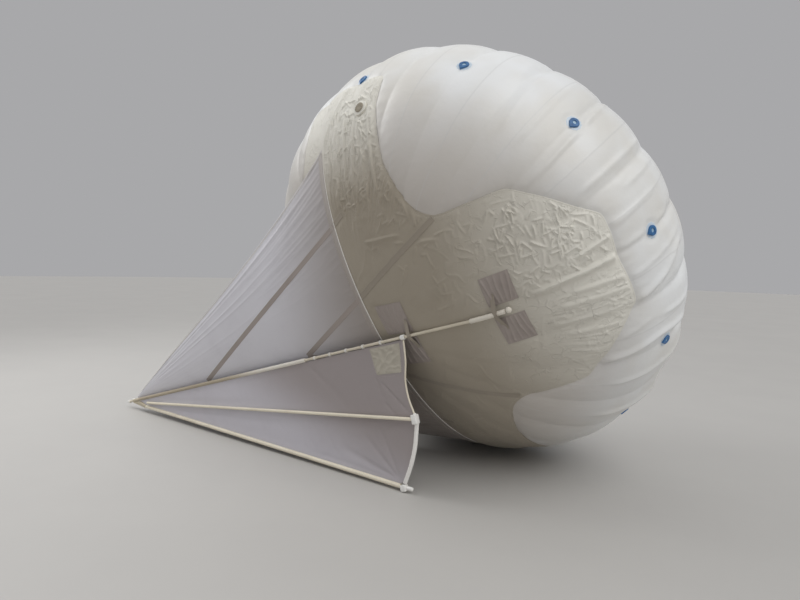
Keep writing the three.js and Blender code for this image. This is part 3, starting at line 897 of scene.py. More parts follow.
@dataclass(frozen=True)
class PaintedFade:
    """A slow change of colour that paints light or shade into a cloth's base colour, as where more light comes
    through thin cloth or less reaches it.

    Each run is a way in the part's frame, with the distances along it in metres where the change starts
    and ends.
    """

    colour: Colour
    runs: tuple[tuple[Triple, float, float], ...]

    def share(self, shader: Shader) -> Term:
        """How far the change has gone, from 0 to 1, on the run where it has gone farthest."""
        shares = []
        for way, low, high in self.runs:
            values = {0: shader.body_place(), 1: way}
            level = shader.node("ShaderNodeVectorMath", values, "Value", operation="DOT_PRODUCT")
            shares.append(shader.ramp(Term(shader, level), low, high))
        return shares[0] if len(shares) == 1 else shares[0].at_least(shares[1])


@dataclass(frozen=True)
class FilmFinish:
    """White film in gores: welded seams, soft gloss and fine creases, lighter towards the rim and darkened
    towards the belly in painted shade.
    """

    name: str = "film"
    light: Colour = (240, 242, 243)
    shade: Colour = (226, 224, 218)
    # painted shade: the colour the film darkens to towards the belly
    belly: Colour = (197, 191, 184)
    weld: Colour = (206, 206, 205)
    gores: int = 26
    weld_width: float = 0.05

    def material(self) -> Material:
        """Makes the material. Its cloth place is the share round from the first seam, and up to the top."""
        shader = Shader(self.name)
        around, upward, _ = shader.cloth_place()
        blotch = shader.noise(shader.body_place(), 0.7, 3)
        weld = shader.line(around + 0.5 / self.gores, 1 / self.gores, self.weld_width / self.gores)
        crinkle = shader.noise(shader.body_place(), 0.05, 6, 0.6)
        grain = shader.noise(shader.body_place(), 0.006, 2, 0.5)
        smear = shader.noise(shader.body_place((1, 1, 3)), 0.28, 5, 0.65)
        base = shader.colour(shader.ramp(blotch, 0.35, 0.7), self.light, self.shade)
        # painted shade: the film darkens towards the belly's middle, by latitude
        base = shader.colour(shader.ramp(upward, 0.44, 0.20), base, self.belly)
        base = shader.colour(weld * 0.3, base, self.weld)
        height = crinkle * 0.6 + grain * 0.08 + weld * 0.25
        return shader.finished(
            base_color=base,
            roughness=0.30 + smear * 0.2 - weld * 0.05,
            normal=shader.bump(height, 0.006, 0.4),
            specular_ior_level=0.5,
        )


@dataclass(frozen=True)
class ClothFinish:
    """Thin coated cloth: a ripstop weave, creases, and soiled or worn places."""

    name: str
    light: Colour
    dark: Colour
    roughness: float = 0.62
    weave: float = 0.0045
    crease: float = 0.004
    crease_size: float = 0.07
    soil: float = 0.35
    sheen: float = 0.12
    through: float = 0.0
    painted_fade: PaintedFade | None = None
    crumple: float = 0.0

    def lines(self, shader: Shader, place: Socket, size: float) -> Term:
        """Sharp short creases along the borders of uneven cells of a size, with places left smooth."""
        bend = shader.node("ShaderNodeTexNoise", {"Vector": place, "Scale": 0.8 / size, "Detail": 2}, "Color")
        values = {0: bend, 1: (0.7 * size, 0.7 * size, 0), 2: place}
        bent = shader.node("ShaderNodeVectorMath", values, operation="MULTIPLY_ADD")
        values = {"Vector": bent, "Scale": 1 / size}
        cells = shader.node("ShaderNodeTexVoronoi", values, "Distance", feature="DISTANCE_TO_EDGE")
        kept = shader.ramp(shader.noise(place, 1.6 * size, 2), 0.50, 0.62)
        return shader.ramp(Term(shader, cells), 0.085, 0.0) * kept

    def material(self) -> Material:
        """Makes the material. Its cloth place is in metres."""
        shader = Shader(self.name)
        across, along, place = shader.cloth_place()
        warp, weft = (shader.line(way, self.weave, self.weave / 3) for way in (across, along))
        threads = warp.at_least(weft)
        crease = shader.noise(shader.body_place(), self.crease_size, 7, 0.62)
        fold = 1 - abs(shader.noise(shader.body_place(), self.crease_size * 2.6, 5, 0.6) * 2 - 1)
        stain = shader.noise(shader.body_place(), 0.35, 6, 0.7)
        speck = shader.noise(place, 0.004, 2, 0.5)
        tone = shader.ramp(stain, 0.42, 0.75) * self.soil + speck * 0.12
        base = shader.colour(tone, self.light, self.dark)
        # painted light or shade, where the finish has a fade
        if self.painted_fade:
            base = shader.colour(self.painted_fade.share(shader), base, self.painted_fade.colour)
        base = shader.colour(threads * 0.1, base, self.dark)
        height = threads * 0.06 + crease * 0.5 + fold * 0.5
        if self.crumple:
            off = (across * across + along * along) ** 0.5
            net = self.lines(shader, place, 0.060) * 0.8 + self.lines(shader, place, 0.034) * 0.5
            worn = shader.ramp(across, 0.55, 1.05).at_least(shader.ramp(off, 0.95, 1.35) * 0.7)
            height = height + net * (worn * 0.9 + 0.1) * (self.crumple / self.crease)
        return shader.finished(
            base_color=base,
            roughness=self.roughness - 0.1 + crease * 0.2,
            normal=shader.bump(height, self.crease, 0.8),
            sheen_weight=self.sheen,
            transmission_weight=self.through,
            ior=1.3,
        )


@dataclass(frozen=True)
class TubeFinish:
    """A smooth or wrapped tube: faint wraps, scuffs and a soft gloss."""

    name: str
    light: Colour
    dark: Colour
    roughness: float = 0.42
    wrap: float = 0.05
    wrap_depth: float = 0.0006

    def material(self) -> Material:
        """Makes the material. Its cloth place is in metres round and along the tube."""
        shader = Shader(self.name)
        around, along, _ = shader.cloth_place()
        edge = shader.line(along + around * 0.35, self.wrap, 0.0025)
        scuff = shader.noise(shader.body_place(), 0.03, 6, 0.7)
        grime = shader.noise(shader.body_place(), 0.22, 4, 0.6)
        tone = shader.ramp(grime, 0.4, 0.75) * 0.35 + shader.ramp(scuff, 0.55, 0.8) * 0.2 + edge * 0.35
        return shader.finished(
            base_color=shader.colour(tone.at_most(1.0), self.light, self.dark),
            roughness=self.roughness - 0.08 + scuff * 0.22,
            normal=shader.bump(scuff * 0.4 + edge * 0.8, self.wrap_depth, 0.9),
        )


@dataclass(frozen=True)
class MouldedFinish:
    """Moulded plastic: fine grain, rubbed lighter where it is handled."""

    name: str
    light: Colour
    dark: Colour
    roughness: float = 0.38

    def material(self) -> Material:
        """Makes the material."""
        shader = Shader(self.name)
        grain = shader.noise(shader.body_place(), 0.002, 3, 0.6)
        rub = shader.noise(shader.body_place(), 0.025, 5, 0.7)
        return shader.finished(
            base_color=shader.colour(shader.ramp(rub, 0.35, 0.75), self.light, self.dark),
            roughness=self.roughness - 0.06 + rub * 0.2,
            normal=shader.bump(grain, 0.0004, 0.7),
        )


@dataclass(frozen=True)
class FloorFinish:
    """A plain pale floor, hardly mottled."""

    name: str = "floor"
    light: Colour = (190, 188, 184)
    dark: Colour = (183, 181, 178)

    def material(self) -> Material:
        """Makes the material."""
        shader = Shader(self.name)
        blotch = shader.noise(shader.body_place(), 0.9, 5, 0.6)
        return shader.finished(
            base_color=shader.colour(blotch, self.light, self.dark),
            roughness=0.55 + blotch * 0.1,
            normal=shader.bump(blotch, 0.001, 0.3),
        )


# painted shade: thin sailcloth is darker where the harness lies close behind it, and the boom's sleeve is a
# beige in painted shade that turns to its own white at the tail
SHADE_BEHIND = PaintedFade((166, 157, 150), (((1.0, 0.0, 0.0), -1.15, -0.05),))
# painted shade: the keel sail is darker up towards the boom under the belly, and lighter towards the tail
SHADE_UNDER = PaintedFade((166, 157, 156), (((0.35, 0.0, 1.0), -1.70, -1.10),))
WHITE = PaintedFade((230, 225, 214), (((1.0, 0.0, 0.0), -1.75, -1.15),))
# painted light: the harness is lighter towards the nose and up its upper arm, as light coming through it would
# make it
LIT = PaintedFade(
    (236, 234, 225), (((0.9659, -0.1896, 0.1761), 0.52, 1.62), ((-0.246, -0.4617, 0.8522), 0.86, 1.50))
)


class Finish(Enum):
    """Every finish of the part."""

    FILM = FilmFinish()
    # the harness cloth, with painted light from LIT towards the nose and up its upper arm
    HARNESS = ClothFinish("harness_cloth", (170, 161, 146), (154, 144, 129), painted_fade=LIT, crumple=0.0045)
    PATCH = ClothFinish("patch_cloth", (166, 156, 150), (146, 136, 130), crease=0.003)
    TAPE = ClothFinish("load_tape", (160, 151, 138), (144, 135, 122), 0.7, 0.0022, 0.0015)
    SAIL_TAPE = ClothFinish("sail_tape", (168, 158, 152), (150, 140, 134), 0.7, 0.0022, 0.0015)
    SAIL = ClothFinish(
        "sailcloth", (229, 228, 234), (215, 213, 220), 0.5, 0.006, 0.0022, 0.12, 0.4, 0.15, 0.12, SHADE_BEHIND
    )
    KEEL_SAIL = ClothFinish(
        "keel_sailcloth", (210, 207, 214), (196, 192, 199), 0.5, 0.006, 0.0022, 0.12, 0.4, 0.15, 0.12, SHADE_UNDER
    )
    SAIL_HEM = ClothFinish(
        "sail_hem", (214, 211, 208), (196, 192, 188), 0.55, 0.004, 0.002, 0.05, painted_fade=SHADE_BEHIND
    )
    KEEL_PATCH = ClothFinish("keel_patch_cloth", (183, 177, 164), (158, 151, 138), 0.66, 0.004, 0.004, 0.04)
    SLEEVE = ClothFinish("rod_sleeve", (226, 220, 208), (198, 190, 175), 0.6, 0.003, 0.0025, 0.03)
    LUFF = ClothFinish("luff_sleeve", (242, 240, 236), (222, 218, 210), 0.6, 0.003, 0.0025, 0.03)
    # painted shade: the sleeve's beige stands for shade, and its fade turns it to the sleeve's own white
    BOOM_SLEEVE = ClothFinish(
        "boom_sleeve_cloth", (178, 166, 145), (156, 144, 124), 0.6, 0.003, 0.0025, 0.03, painted_fade=WHITE
    )
    VALVE_COVER = ClothFinish("valve_cover", (170, 162, 146), (126, 119, 107), 0.7, 0.003, 0.004, 0.03)
    ROD = TubeFinish("wrapped_rod", (232, 224, 204), (198, 188, 166))
    BOOM = TubeFinish("boom_wrap", (214, 205, 186), (184, 174, 154))
    FITTING = TubeFinish("white_tape", (240, 239, 235), (210, 206, 197), 0.45, 0.018)
    BOOT = TubeFinish("beige_boot", (196, 186, 164), (164, 153, 131), 0.6, 0.02)
    CORD = TubeFinish("lashing_cord", (240, 238, 232), (206, 202, 192), 0.7, 0.004)
    THREAD = MouldedFinish("seam_thread", (214, 210, 200), (184, 178, 166), 0.7)
    BLUE = MouldedFinish("blue_tab", (58, 116, 170), (36, 84, 134))
    EYE = MouldedFinish("blue_tab_eye", (186, 212, 228), (150, 186, 212))
    PAD = MouldedFinish("clear_pad", (214, 226, 236), (196, 212, 226), 0.3)

    @cached_property
    def material(self) -> Material:
        """Its material, made once."""
        return self.value.material()


# Geometry Nodes


class Growth(Nodes):
    """A Geometry Nodes tree that grows a piece from a plain mesh. It ends in real, dressed geometry."""

    def __init__(self, name: str, sizes: Sequence[str]) -> None:
        """Starts a tree.

        Args:
            name: Its name.
            sizes: The names of its number inputs.
        """
        self.tree = bpy.data.node_groups.new(name, "GeometryNodeTree")
        face = self.tree.interface
        face.new_socket(name="Geometry", in_out="INPUT", socket_type="NodeSocketGeometry")
        self.keys = {
            size: face.new_socket(name=size, in_out="INPUT", socket_type="NodeSocketFloat").identifier
            for size in sizes
        }
        face.new_socket(name="Geometry", in_out="OUTPUT", socket_type="NodeSocketGeometry")
        self.entry = self.tree.nodes.new("NodeGroupInput")

    def size(self, name: str) -> Socket:
        """The socket of a named number input."""
        return self.entry.outputs[name]

    def close(self, geometry: Socket, material: Material | None = None) -> None:
        """Makes the instances real, dresses them and hands them out."""
        real = self.node("GeometryNodeRealizeInstances", {0: geometry})
        smooth = self.node("GeometryNodeSetShadeSmooth", {0: real})
        if material:
            smooth = self.node("GeometryNodeSetMaterial", {0: smooth, "Material": material})
        self.tree.links.new(smooth, self.tree.nodes.new("NodeGroupOutput").inputs[0])

    def grow(self, name: str, seed: bpy.types.Mesh, sizes: dict[str, float]) -> Piece:
        """Runs the tree.

        Args:
            name: The name of the piece.
            seed: The mesh that it grows from.
            sizes: The tree's number inputs, by name.

        Returns:
            The piece, a plain mesh with no modifier.
        """
        carrier = linked(name + "_seed", seed)
        modifier = carrier.modifiers.new("growth", "NODES")
        modifier.node_group = self.tree
        for size, value in sizes.items():
            modifier[self.keys[size]] = value
        graph = bpy.context.evaluated_depsgraph_get()
        mesh = bpy.data.meshes.new_from_object(carrier.evaluated_get(graph))
        mesh.name = name
        carrier.modifiers.remove(modifier)
        bpy.data.objects.remove(carrier)
        return linked(name, mesh)


def polyline(name: str, lines: Sequence[Array], closed: bool = False) -> bpy.types.Mesh:
    """A mesh of edges alone, one chain for each line of points."""
    edges = []
    count = 0
    for line in lines:
        edges += [(count + i, count + i + 1) for i in range(len(line) - 1)]
        if closed:
            edges.append((count + len(line) - 1, count))
        count += len(line)
    mesh = bpy.data.meshes.new(name)
    mesh.from_pydata(np.vstack(lines).tolist(), edges, [])
    return mesh


def stitch_growth(material: Material) -> Growth:
    """A tree that sews stitches along chains of edges, one every spacing, of a length and thickness."""
    tree = Growth("stitches", ("Spacing", "Length", "Thickness"))
    curve = tree.node("GeometryNodeMeshToCurve", {0: tree.entry.outputs["Geometry"]})
    values = {"Curve": curve, "Length": tree.size("Spacing")}
    even = tree.node("GeometryNodeResampleCurve", values, mode="LENGTH")
    bead = tree.node("GeometryNodeMeshUVSphere", {"Segments": 6, "Rings": 4, "Radius": 0.5})
    thickness = tree.size("Thickness")
    scale = tree.node("ShaderNodeCombineXYZ", {0: thickness, 1: thickness, 2: tree.size("Length")})
    tangent = tree.node("GeometryNodeInputTangent")
    turn = tree.node("FunctionNodeAlignRotationToVector", {"Vector": tangent}, axis="Z")
    values = {"Points": even, "Instance": bead, "Rotation": turn, "Scale": scale}
    tree.close(tree.node("GeometryNodeInstanceOnPoints", values), material)
    return tree


def winding_growth(material: Material, way: Sequence[float]) -> Growth:
    """A tree that winds a cord round a rod that runs along way, at each point of a mesh."""
    tree = Growth("windings", ("Turns", "Radius", "Width", "Cord"))
    values = {"Resolution": 20, "Rotations": tree.size("Turns"), "Height": tree.size("Width")}
    values |= {"Start Radius": tree.size("Radius"), "End Radius": tree.size("Radius")}
    spiral = tree.node("GeometryNodeCurveSpiral", values)
    circle = tree.node("GeometryNodeCurvePrimitiveCircle", {"Resolution": 8, "Radius": tree.size("Cord")})
    values = {"Curve": spiral, "Profile Curve": circle, "Fill Caps": True}
    cord = tree.node("GeometryNodeCurveToMesh", values)
    middle = tree.node("ShaderNodeMath", {0: tree.size("Width"), 1: -0.5}, operation="MULTIPLY")
    shift = tree.node("ShaderNodeCombineXYZ", {2: middle})
    centred = tree.node("GeometryNodeTransform", {"Geometry": cord, "Translation": shift})
    turn = tree.node("FunctionNodeAlignRotationToVector", {"Vector": way}, axis="Z")
    values = {"Points": tree.entry.outputs["Geometry"], "Instance": centred, "Rotation": turn}
    tree.close(tree.node("GeometryNodeInstanceOnPoints", values), material)
    return tree


def copies_growth(pattern: Piece) -> Growth:
    """A tree that puts a copy of an object on each point, turned as the point's attribute named turn says."""
    tree = Growth("copies", ("Size",))
    shape = tree.node("GeometryNodeObjectInfo", {"Object": pattern}, "Geometry")
    kind = "GeometryNodeInputNamedAttribute"
    named = tree.node(kind, {"Name": "turn"}, "Attribute", data_type="FLOAT_VECTOR")
    turn = tree.node("FunctionNodeEulerToRotation", {0: named})
    values = {"Points": tree.entry.outputs["Geometry"], "Instance": shape, "Rotation": turn}
    tree.close(tree.node("GeometryNodeInstanceOnPoints", values | {"Scale": tree.size("Size")}))
    return tree


# Seating pieces


@dataclass
class Assembly:
    """What every sub-assembly has: how it lies, its body, and how its pieces are made and seated."""

    lie: Lie
    body: ClassVar[Body] = Body.BALLOON
    # the spacing of stitches, their length and their thickness
    stitch: ClassVar[Triple] = (0.011, 0.006, 0.0014)

    @property
    def boom(self) -> Boom:
        """The boom's line."""
        return self.lie.boom

    @property
    def skin(self) -> Skin:
        """The envelope's even surface."""
        return self.lie.boom.skin

    def seat(self, piece: Piece, slot: Slot, nodes: Sequence[str] = ()) -> Piece:
        """Puts a finished piece on the assembly's body, hides the imported nodes that it stands for, and
        reports it.
        """
        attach(piece, self.body.value)
        if nodes:
            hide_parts(*nodes)
        LOG.info("%s: %d faces, on %s", piece.name, len(piece.data.polygons), self.body.value)
        return piece

    def put(
        self,
        form: Form,
        name: str,
        dress: Sequence[Finish],
        slot: Slot,
        nodes: Sequence[str] = (),
        sharp: float = 40,
    ) -> Piece:
        """Makes a piece of a form, in the finishes that its tones count, and seats it."""
        return self.seat(form.piece(name, [each.material for each in dress], sharp), slot, nodes)

    def sew(self, name: str, lines: Sequence[Array], slot: Slot, closed: bool = False) -> None:
        """Sews a row of stitches along each line of points."""
        sizes = dict(zip(("Spacing", "Length", "Thickness"), self.stitch))
        seed = polyline(name + "_rows", lines, closed)
        self.seat(stitch_growth(Finish.THREAD.material).grow(name, seed, sizes), slot)


# Sub-assemblies


@dataclass
class Harness(Assembly):
    """The cloth cross over the belly, with its hems, patches and load tapes."""

    stitch: ClassVar[Triple] = (0.012, 0.007, 0.0016)
    spacing: float = 0.0067
    outer: float = 0.0046
    hem_width: float = 0.010
    hem_height: float = 0.0036
    tape_width: float = 0.038
    tape_height: float = 0.0018
    tape_ribs: float = 0.0004
    # azimuth in degrees from the nose arm's middle round to a side arm's, and the harness's reach in plan
    quarter: tuple[Pair, ...] = (
        (0, 1.458), (6, 1.468), (11, 1.475), (15.5, 1.420), (22, 1.352), (30, 1.272), (37, 1.075),
        (41, 0.985), (45, 0.948), (50, 0.940), (55.5, 0.971), (61, 1.030), (67, 1.122), (71, 1.241),
        (74.5, 1.396), (76, 1.530), (82, 1.530), (90, 1.530),
    )
    # load tapes on the harness and the tail sail, in plan on one side: from the boom out and forward
    tapes: Rows = (
        ((-1.977, 0.0), (0.030, 0.856)),
        ((-0.745, 0.0), (0.700, 0.645)),
    )
    # glued patches in plan on one side: x from and to, y from and to
    patches: Rows = (
        ("front_patch", 0.838, 1.008, 0.042, 0.226),
        ("rear_patch", 0.046, 0.283, 0.014, 0.232),
    )
    # strewn creases: seed, count, the box they lie in on the chart, their lean and their height
    strewings: Rows = (
        (71, 62, (1.04, 1.48, -0.62, -0.18), 1.75, 0.0125),
        (72, 34, (1.34, 1.62, -0.36, -0.08), 1.35, 0.0105),
        (73, 22, (1.04, 1.40, -0.20, -0.05), 0.95, 0.0080),
        (74, 30, (1.16, 1.66, 0.04, 0.42), 0.35, 0.0055),
        (75, 26, (0.42, 1.06, -0.62, -0.12), 1.85, 0.0058),
        (76, 64, (0.02, 0.52, -1.66, -0.90), 1.65, 0.0115),
        (77, 34, (0.08, 0.46, -1.64, -1.25), 1.20, 0.0125),
        (78, 24, (0.20, 0.72, -0.98, -0.50), 2.30, 0.0070),
        (79, 16, (-0.10, 0.50, 1.00, 1.60), 1.65, 0.0050),
        (80, 26, (-1.60, -0.90, -0.50, 0.50), 0.50, 0.0050),
    )
    # long folds on the chart: from x and y to x and y, half width and height
    folds: Rows = (
        (1.10, -0.040, 1.70, -0.045, 0.022, 0.024),
        (1.40, -0.140, 1.68, -0.185, 0.016, 0.016),
        (1.30, 0.045, 1.74, 0.120, 0.022, 0.012),
        (1.22, 0.105, 1.66, 0.190, 0.022, 0.011),
        (1.14, 0.200, 1.60, 0.300, 0.020, 0.009),
        (1.20, 0.300, 1.52, 0.400, 0.018, 0.009),
        (0.36, -1.500, 0.39, -0.880, 0.013, 0.014),
        (0.12, -1.550, 0.13, -1.000, 0.013, 0.012),
        (0.24, -1.620, 0.20, -0.950, 0.014, 0.012),
        (0.45, -1.450, 0.50, -1.020, 0.013, 0.012),
        (0.30, -1.300, 0.30, -0.780, 0.012, 0.010),
        (0.53, -0.980, 0.57, -0.720, 0.013, 0.013),
        (0.62, -0.860, 0.60, -0.640, 0.012, 0.009),
        (0.17, -0.660, 0.47, -0.640, 0.013, 0.009),
        (0.40, -0.600, 0.72, -0.540, 0.012, 0.008),
        (-0.15, -1.300, 0.10, -1.820, 0.016, 0.012),
    )

    @cached_property
    def outline(self) -> Outline:
        """The harness's edge on the belly's chart."""
        half = list(self.quarter) + [(180 - azimuth, reach) for azimuth, reach in self.quarter[-2::-1]]
        whole = half + [(360 - azimuth, reach) for azimuth, reach in half[-2:0:-1]]
        azimuth, reach = np.transpose(whole)
        plan = turned_out(reach, np.radians(azimuth))
        return Outline(self.skin.chart_of_plan(plan)).softened(0.02, 0.04)

    def half(self) -> Outline:
        """The part of the outline on the floor side of the boom."""
        corners = self.outline.corners
        turn = np.arctan2(corners[:, 1], corners[:, 0])
        side = corners[turn > 0][np.argsort(turn[turn > 0])]
        front, rear = side[0, 0], side[-1, 0]
        return Outline(np.vstack([[front, 0.0], side, [rear, 0.0]]))

    def calm(self, plan: Array) -> Array:
        """Where the cloth is held smooth, under tapes, patches and the tail sail's hem: 0 there, 1 away."""
        x, y = plan[..., 0], np.abs(plan[..., 1])
        free = ease(np.abs(x - TailSail.hem_x(plan[..., 1])), 0.012, 0.045)
        for start, end in self.tapes:
            way = np.subtract(end, start)
            off = np.abs((x - start[0]) * way[1] - (y - start[1]) * way[0]) / np.hypot(*way)
            beyond = (x > end[0] + 0.01) | (x < start[0])
            free = free * np.where(beyond, 1, ease(off, self.tape_width / 2, self.tape_width * 1.4))
        for _, x0, x1, y0, y1 in self.patches:
            past = np.maximum(x0 - x, x - x1), np.maximum(y0 - y, y - y1)
            outside = np.hypot(np.maximum(past[0], 0), np.maximum(past[1], 0))
            free = free * ease(outside, 0.0, 0.035)
        return free

    @staticmethod
    def crumple(chart: Array, seed: int, cell: float, width: float, bare: float) -> Array:
        """An uneven net of short creases.

        Args:
            chart: Places on the belly's chart.
            seed: The net's own number.
            cell: The width of a mesh of the net; it is drawn out sideways.
            width: Half the width of a crease.
            bare: From -1 to 1, the more of the net is left out.

        Returns:
            Heights from 0 to 1.
        """
        x, y = chart[:, 0] / cell, chart[:, 1] / (1.5 * cell)
        x = x + 0.45 * Waves(seed).smooth(x * 1.3, y * 1.3)
        y = y + 0.45 * Waves(seed + 1).smooth(x * 1.3 + 5, y * 1.3)
        kept = ease(Waves(seed + 2).smooth(x * 0.8 + 3, y * 0.8), bare - 0.18, bare + 0.22)
        return bell(Waves(seed + 3).borders(x, y) * cell, width) * kept

    @staticmethod
    def strewn(chart: Array, seed: int, count: int, box: Sequence[float], lean: float) -> Array:
        """Short sharp creases strewn at random over a box, many of them with a second arm.

        Args:
            chart: Places on the belly's chart.
            seed: The scatter's own number.
            count: How many creases there are.
            box: Least x, most x, least y and most y.
            lean: The creases' middle direction in radians from the chart's x axis.

        Returns:
            Heights from 0 to 1.
        """
        rng = np.random.default_rng(seed)
        height = np.zeros(len(chart))
        for _ in range(count):
            place = np.array([rng.uniform(box[0], box[1]), rng.uniform(box[2], box[3])])
            turn = lean + 0.55 * rng.normal()
            for arm in range(2 if rng.random() < 0.45 else 1):
                length, width = rng.uniform(0.05, 0.13), rng.uniform(0.0058, 0.0082)
                top = rng.uniform(0.45, 1.0)
                way = np.array([math.cos(turn), math.sin(turn)])
                along = (chart - place) @ way
                bend = rng.normal() * 1.6
                off = (chart - place) @ np.array([-way[1], way[0]]) - bend * along * (along - length)
                taper = ease(along, -0.004, 0.016) * ease(along, length, length * 0.6)
                height = np.maximum(height, top * bell(off, width) * taper)
                place = place + way * length * (0.15 * arm + 0.05)
                turn = turn + rng.choice([-1, 1]) * rng.uniform(0.9, 1.9)
        return height

    def relief(self, chart: Array) -> Array:
        """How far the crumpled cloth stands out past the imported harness.

        Args:
            chart: Places on the belly's chart.

        Returns:
            Heights in metres.
        """
        plan = self.skin.plan_of_chart(chart)
        x, y = chart[:, 0], chart[:, 1]
        reach = np.hypot(x, y)
        azimuth = np.arctan2(y, x)
        drift = Waves(5).smooth(x / 0.21, y / 0.21)
        nose = ease(x, 0.98, 1.14) * ease(y, 0.10, -0.02) + 0.4 * ease(x, 1.1, 1.35) * ease(y, -0.02, 0.10)
        scattered = ease(x, 0.40, 0.62) * ease(x, 1.16, 1.02) * ease(y, -0.16, -0.30)
        tail = ease(-plan[:, 0], 0.35, 0.9)
        arm = ease(np.abs(y), 0.55, 1.0) * ease(np.abs(x), 0.85, 0.5)
        low_arm = arm * (y > 0)
        strong = nose + 0.70 * arm + 0.15 * tail
        height = 0.0050 * self.crumple(chart, 11, 0.105, 0.0068, 0.05) * strong
        height = np.maximum(height, 0.0055 * self.crumple(chart, 31, 0.120, 0.0068, 0.20) * scattered)
        height = np.maximum(height, 0.0025 * self.crumple(chart, 41, 0.200, 0.0120, 0.0))
        for seed, count, box, lean, top in self.strewings:
            height = np.maximum(height, top * self.strewn(chart, seed, count, box, lean))
        along_arm = Waves(13).ridges(azimuth * 26 + 0.6 * drift, reach / 0.5, 6)
        finer = Waves(14).ridges(azimuth * 52 + 0.5 * drift, reach / 0.3 + 5, 5)
        along_arm = np.maximum(along_arm, 0.6 * finer)
        far_nose = ease(x, 1.05, 1.3) * ease(y, -0.02, 0.08)
        height = height + (0.0095 * (arm - 0.7 * low_arm) + 0.0065 * far_nose) * along_arm
        for x0, y0, x1, y1, width, top in self.folds:
            way = np.array([x1 - x0, y1 - y0])
            share = ((x - x0) * way[0] + (y - y0) * way[1]) / float(way @ way)
            off = ((x - x0) * way[1] - (y - y0) * way[0]) / float(np.hypot(*way)) + 0.006 * drift
            taper = ease(share, -0.05, 0.15) * ease(share, 1.05, 0.85)
            lean = np.where(off > 0, 0.7, 1.3)
            height = np.maximum(height, top * bell(off, width * lean) * taper)
        seam = self.skin.off_seam(azimuth) * 2 * reach / self.skin.gores
        raised = bell(seam, 0.007) * ease(reach, 0.5, 1.1)
        height = height + 0.003 * (0.5 + 0.5 * drift)
        height = height * self.calm(plan) + 0.0020 * raised
        behind = TailSail.hem_x(plan[:, 1]) - plan[:, 0]
        height = height * (1 - 0.85 * ease(behind, -0.02, 0.04) * ease(behind, 0.75, 0.5))
        valve = np.linalg.norm(self.skin.on_chart(chart) - FillValve.centre(self.skin), axis=-1)
        edge = self.outline.measure(chart)[0]
        return height * ease(edge, 0.0, 0.03) * ease(valve, FillValve.flange, FillValve.flange + 0.03)

    def cloth(self) -> None:
        """The two halves of the cross, which meet under the boom."""
        flat, faces = self.half().filled(self.spacing)
        for name, sign in (("left", 1), ("right", -1)):
            chart = flat * [1, sign]
            outside = faces[:, ::-sign]
            base = self.skin.on_chart(chart, self.outer)
            area = surface_area(base, faces)
            points = self.skin.on_chart(chart, self.outer + self.relief(chart))
            form = Form(self.lie.flight(points), [outside], [chart[outside]])
            cloth = self.put(form, "harness_cloth_" + name, [Finish.HARNESS], Slot.HARNESS, ["harness"])

    def on_belly(self, plan: Array, offset: float) -> tuple[Array, Array]:
        """Points on the belly at places in plan, and the ways out of it, both in the part's own frame."""
        chart = self.skin.chart_of_plan(plan)
        points = self.skin.on_chart(chart, offset)
        return self.lie.flight(points), self.lie.flight(self.skin.chart_normal(chart))

    def hems(self) -> None:
        """The rolled hem round the cross, the band that joins its halves, and their stitches."""
        chart = self.outline.softened(0.012, 0.012).corners
        path = self.lie.flight(self.skin.on_chart(chart, 0.002))
        ups = self.lie.flight(self.skin.chart_normal(chart))
        wobble = 1 + 0.12 * Waves(21).smooth(np.arange(len(path)) / 9, np.zeros(len(path)))
        section = hem_section(self.hem_width, self.hem_height)
        hem = swept(path, ups, section, wobble, closed=True)
        x = np.linspace(-1.44, 1.44, 240)
        middle, out = self.on_belly(np.stack([x, np.zeros_like(x)], -1), self.outer - 0.001)
        band = swept(middle, out, flat_section(0.024, 0.0022, 0.0004))
        self.put(Form.joined([hem, band]), "harness_hems", [Finish.HARNESS], Slot.HARNESS)
        inner = chart * (1 - 0.016 / np.linalg.norm(chart, axis=1, keepdims=True))
        row = self.lie.flight(self.skin.on_chart(inner, self.outer + 0.0012))
        self.sew("harness_stitches", [row], Slot.HARNESS, closed=True)

    def tape_plans(self, count: int) -> list[Array]:
        """The load tapes' middle lines in plan, of count points each, on both sides of the boom."""
        share = np.linspace(0, 1, count)[:, None]
        return [
            (np.array(start) * (1 - share) + np.array(end) * share) * [1, sign]
            for start, end in self.tapes
            for sign in (1, -1)
        ]

    def load_tapes(self) -> None:
        """The flat tapes that spread the tail sail's pull over the harness."""
        section = flat_section(self.tape_width, self.tape_height, self.tape_ribs)
        bands = []
        for plan in self.tape_plans(160):
            ahead = plan[plan[:, 0] > TailSail.hem_x(plan[:, 1]) - 0.01]
            bands.append(swept(*self.on_belly(ahead, self.outer), section))
        self.put(Form.joined(bands), "harness_load_tapes", [Finish.TAPE], Slot.PATCH)

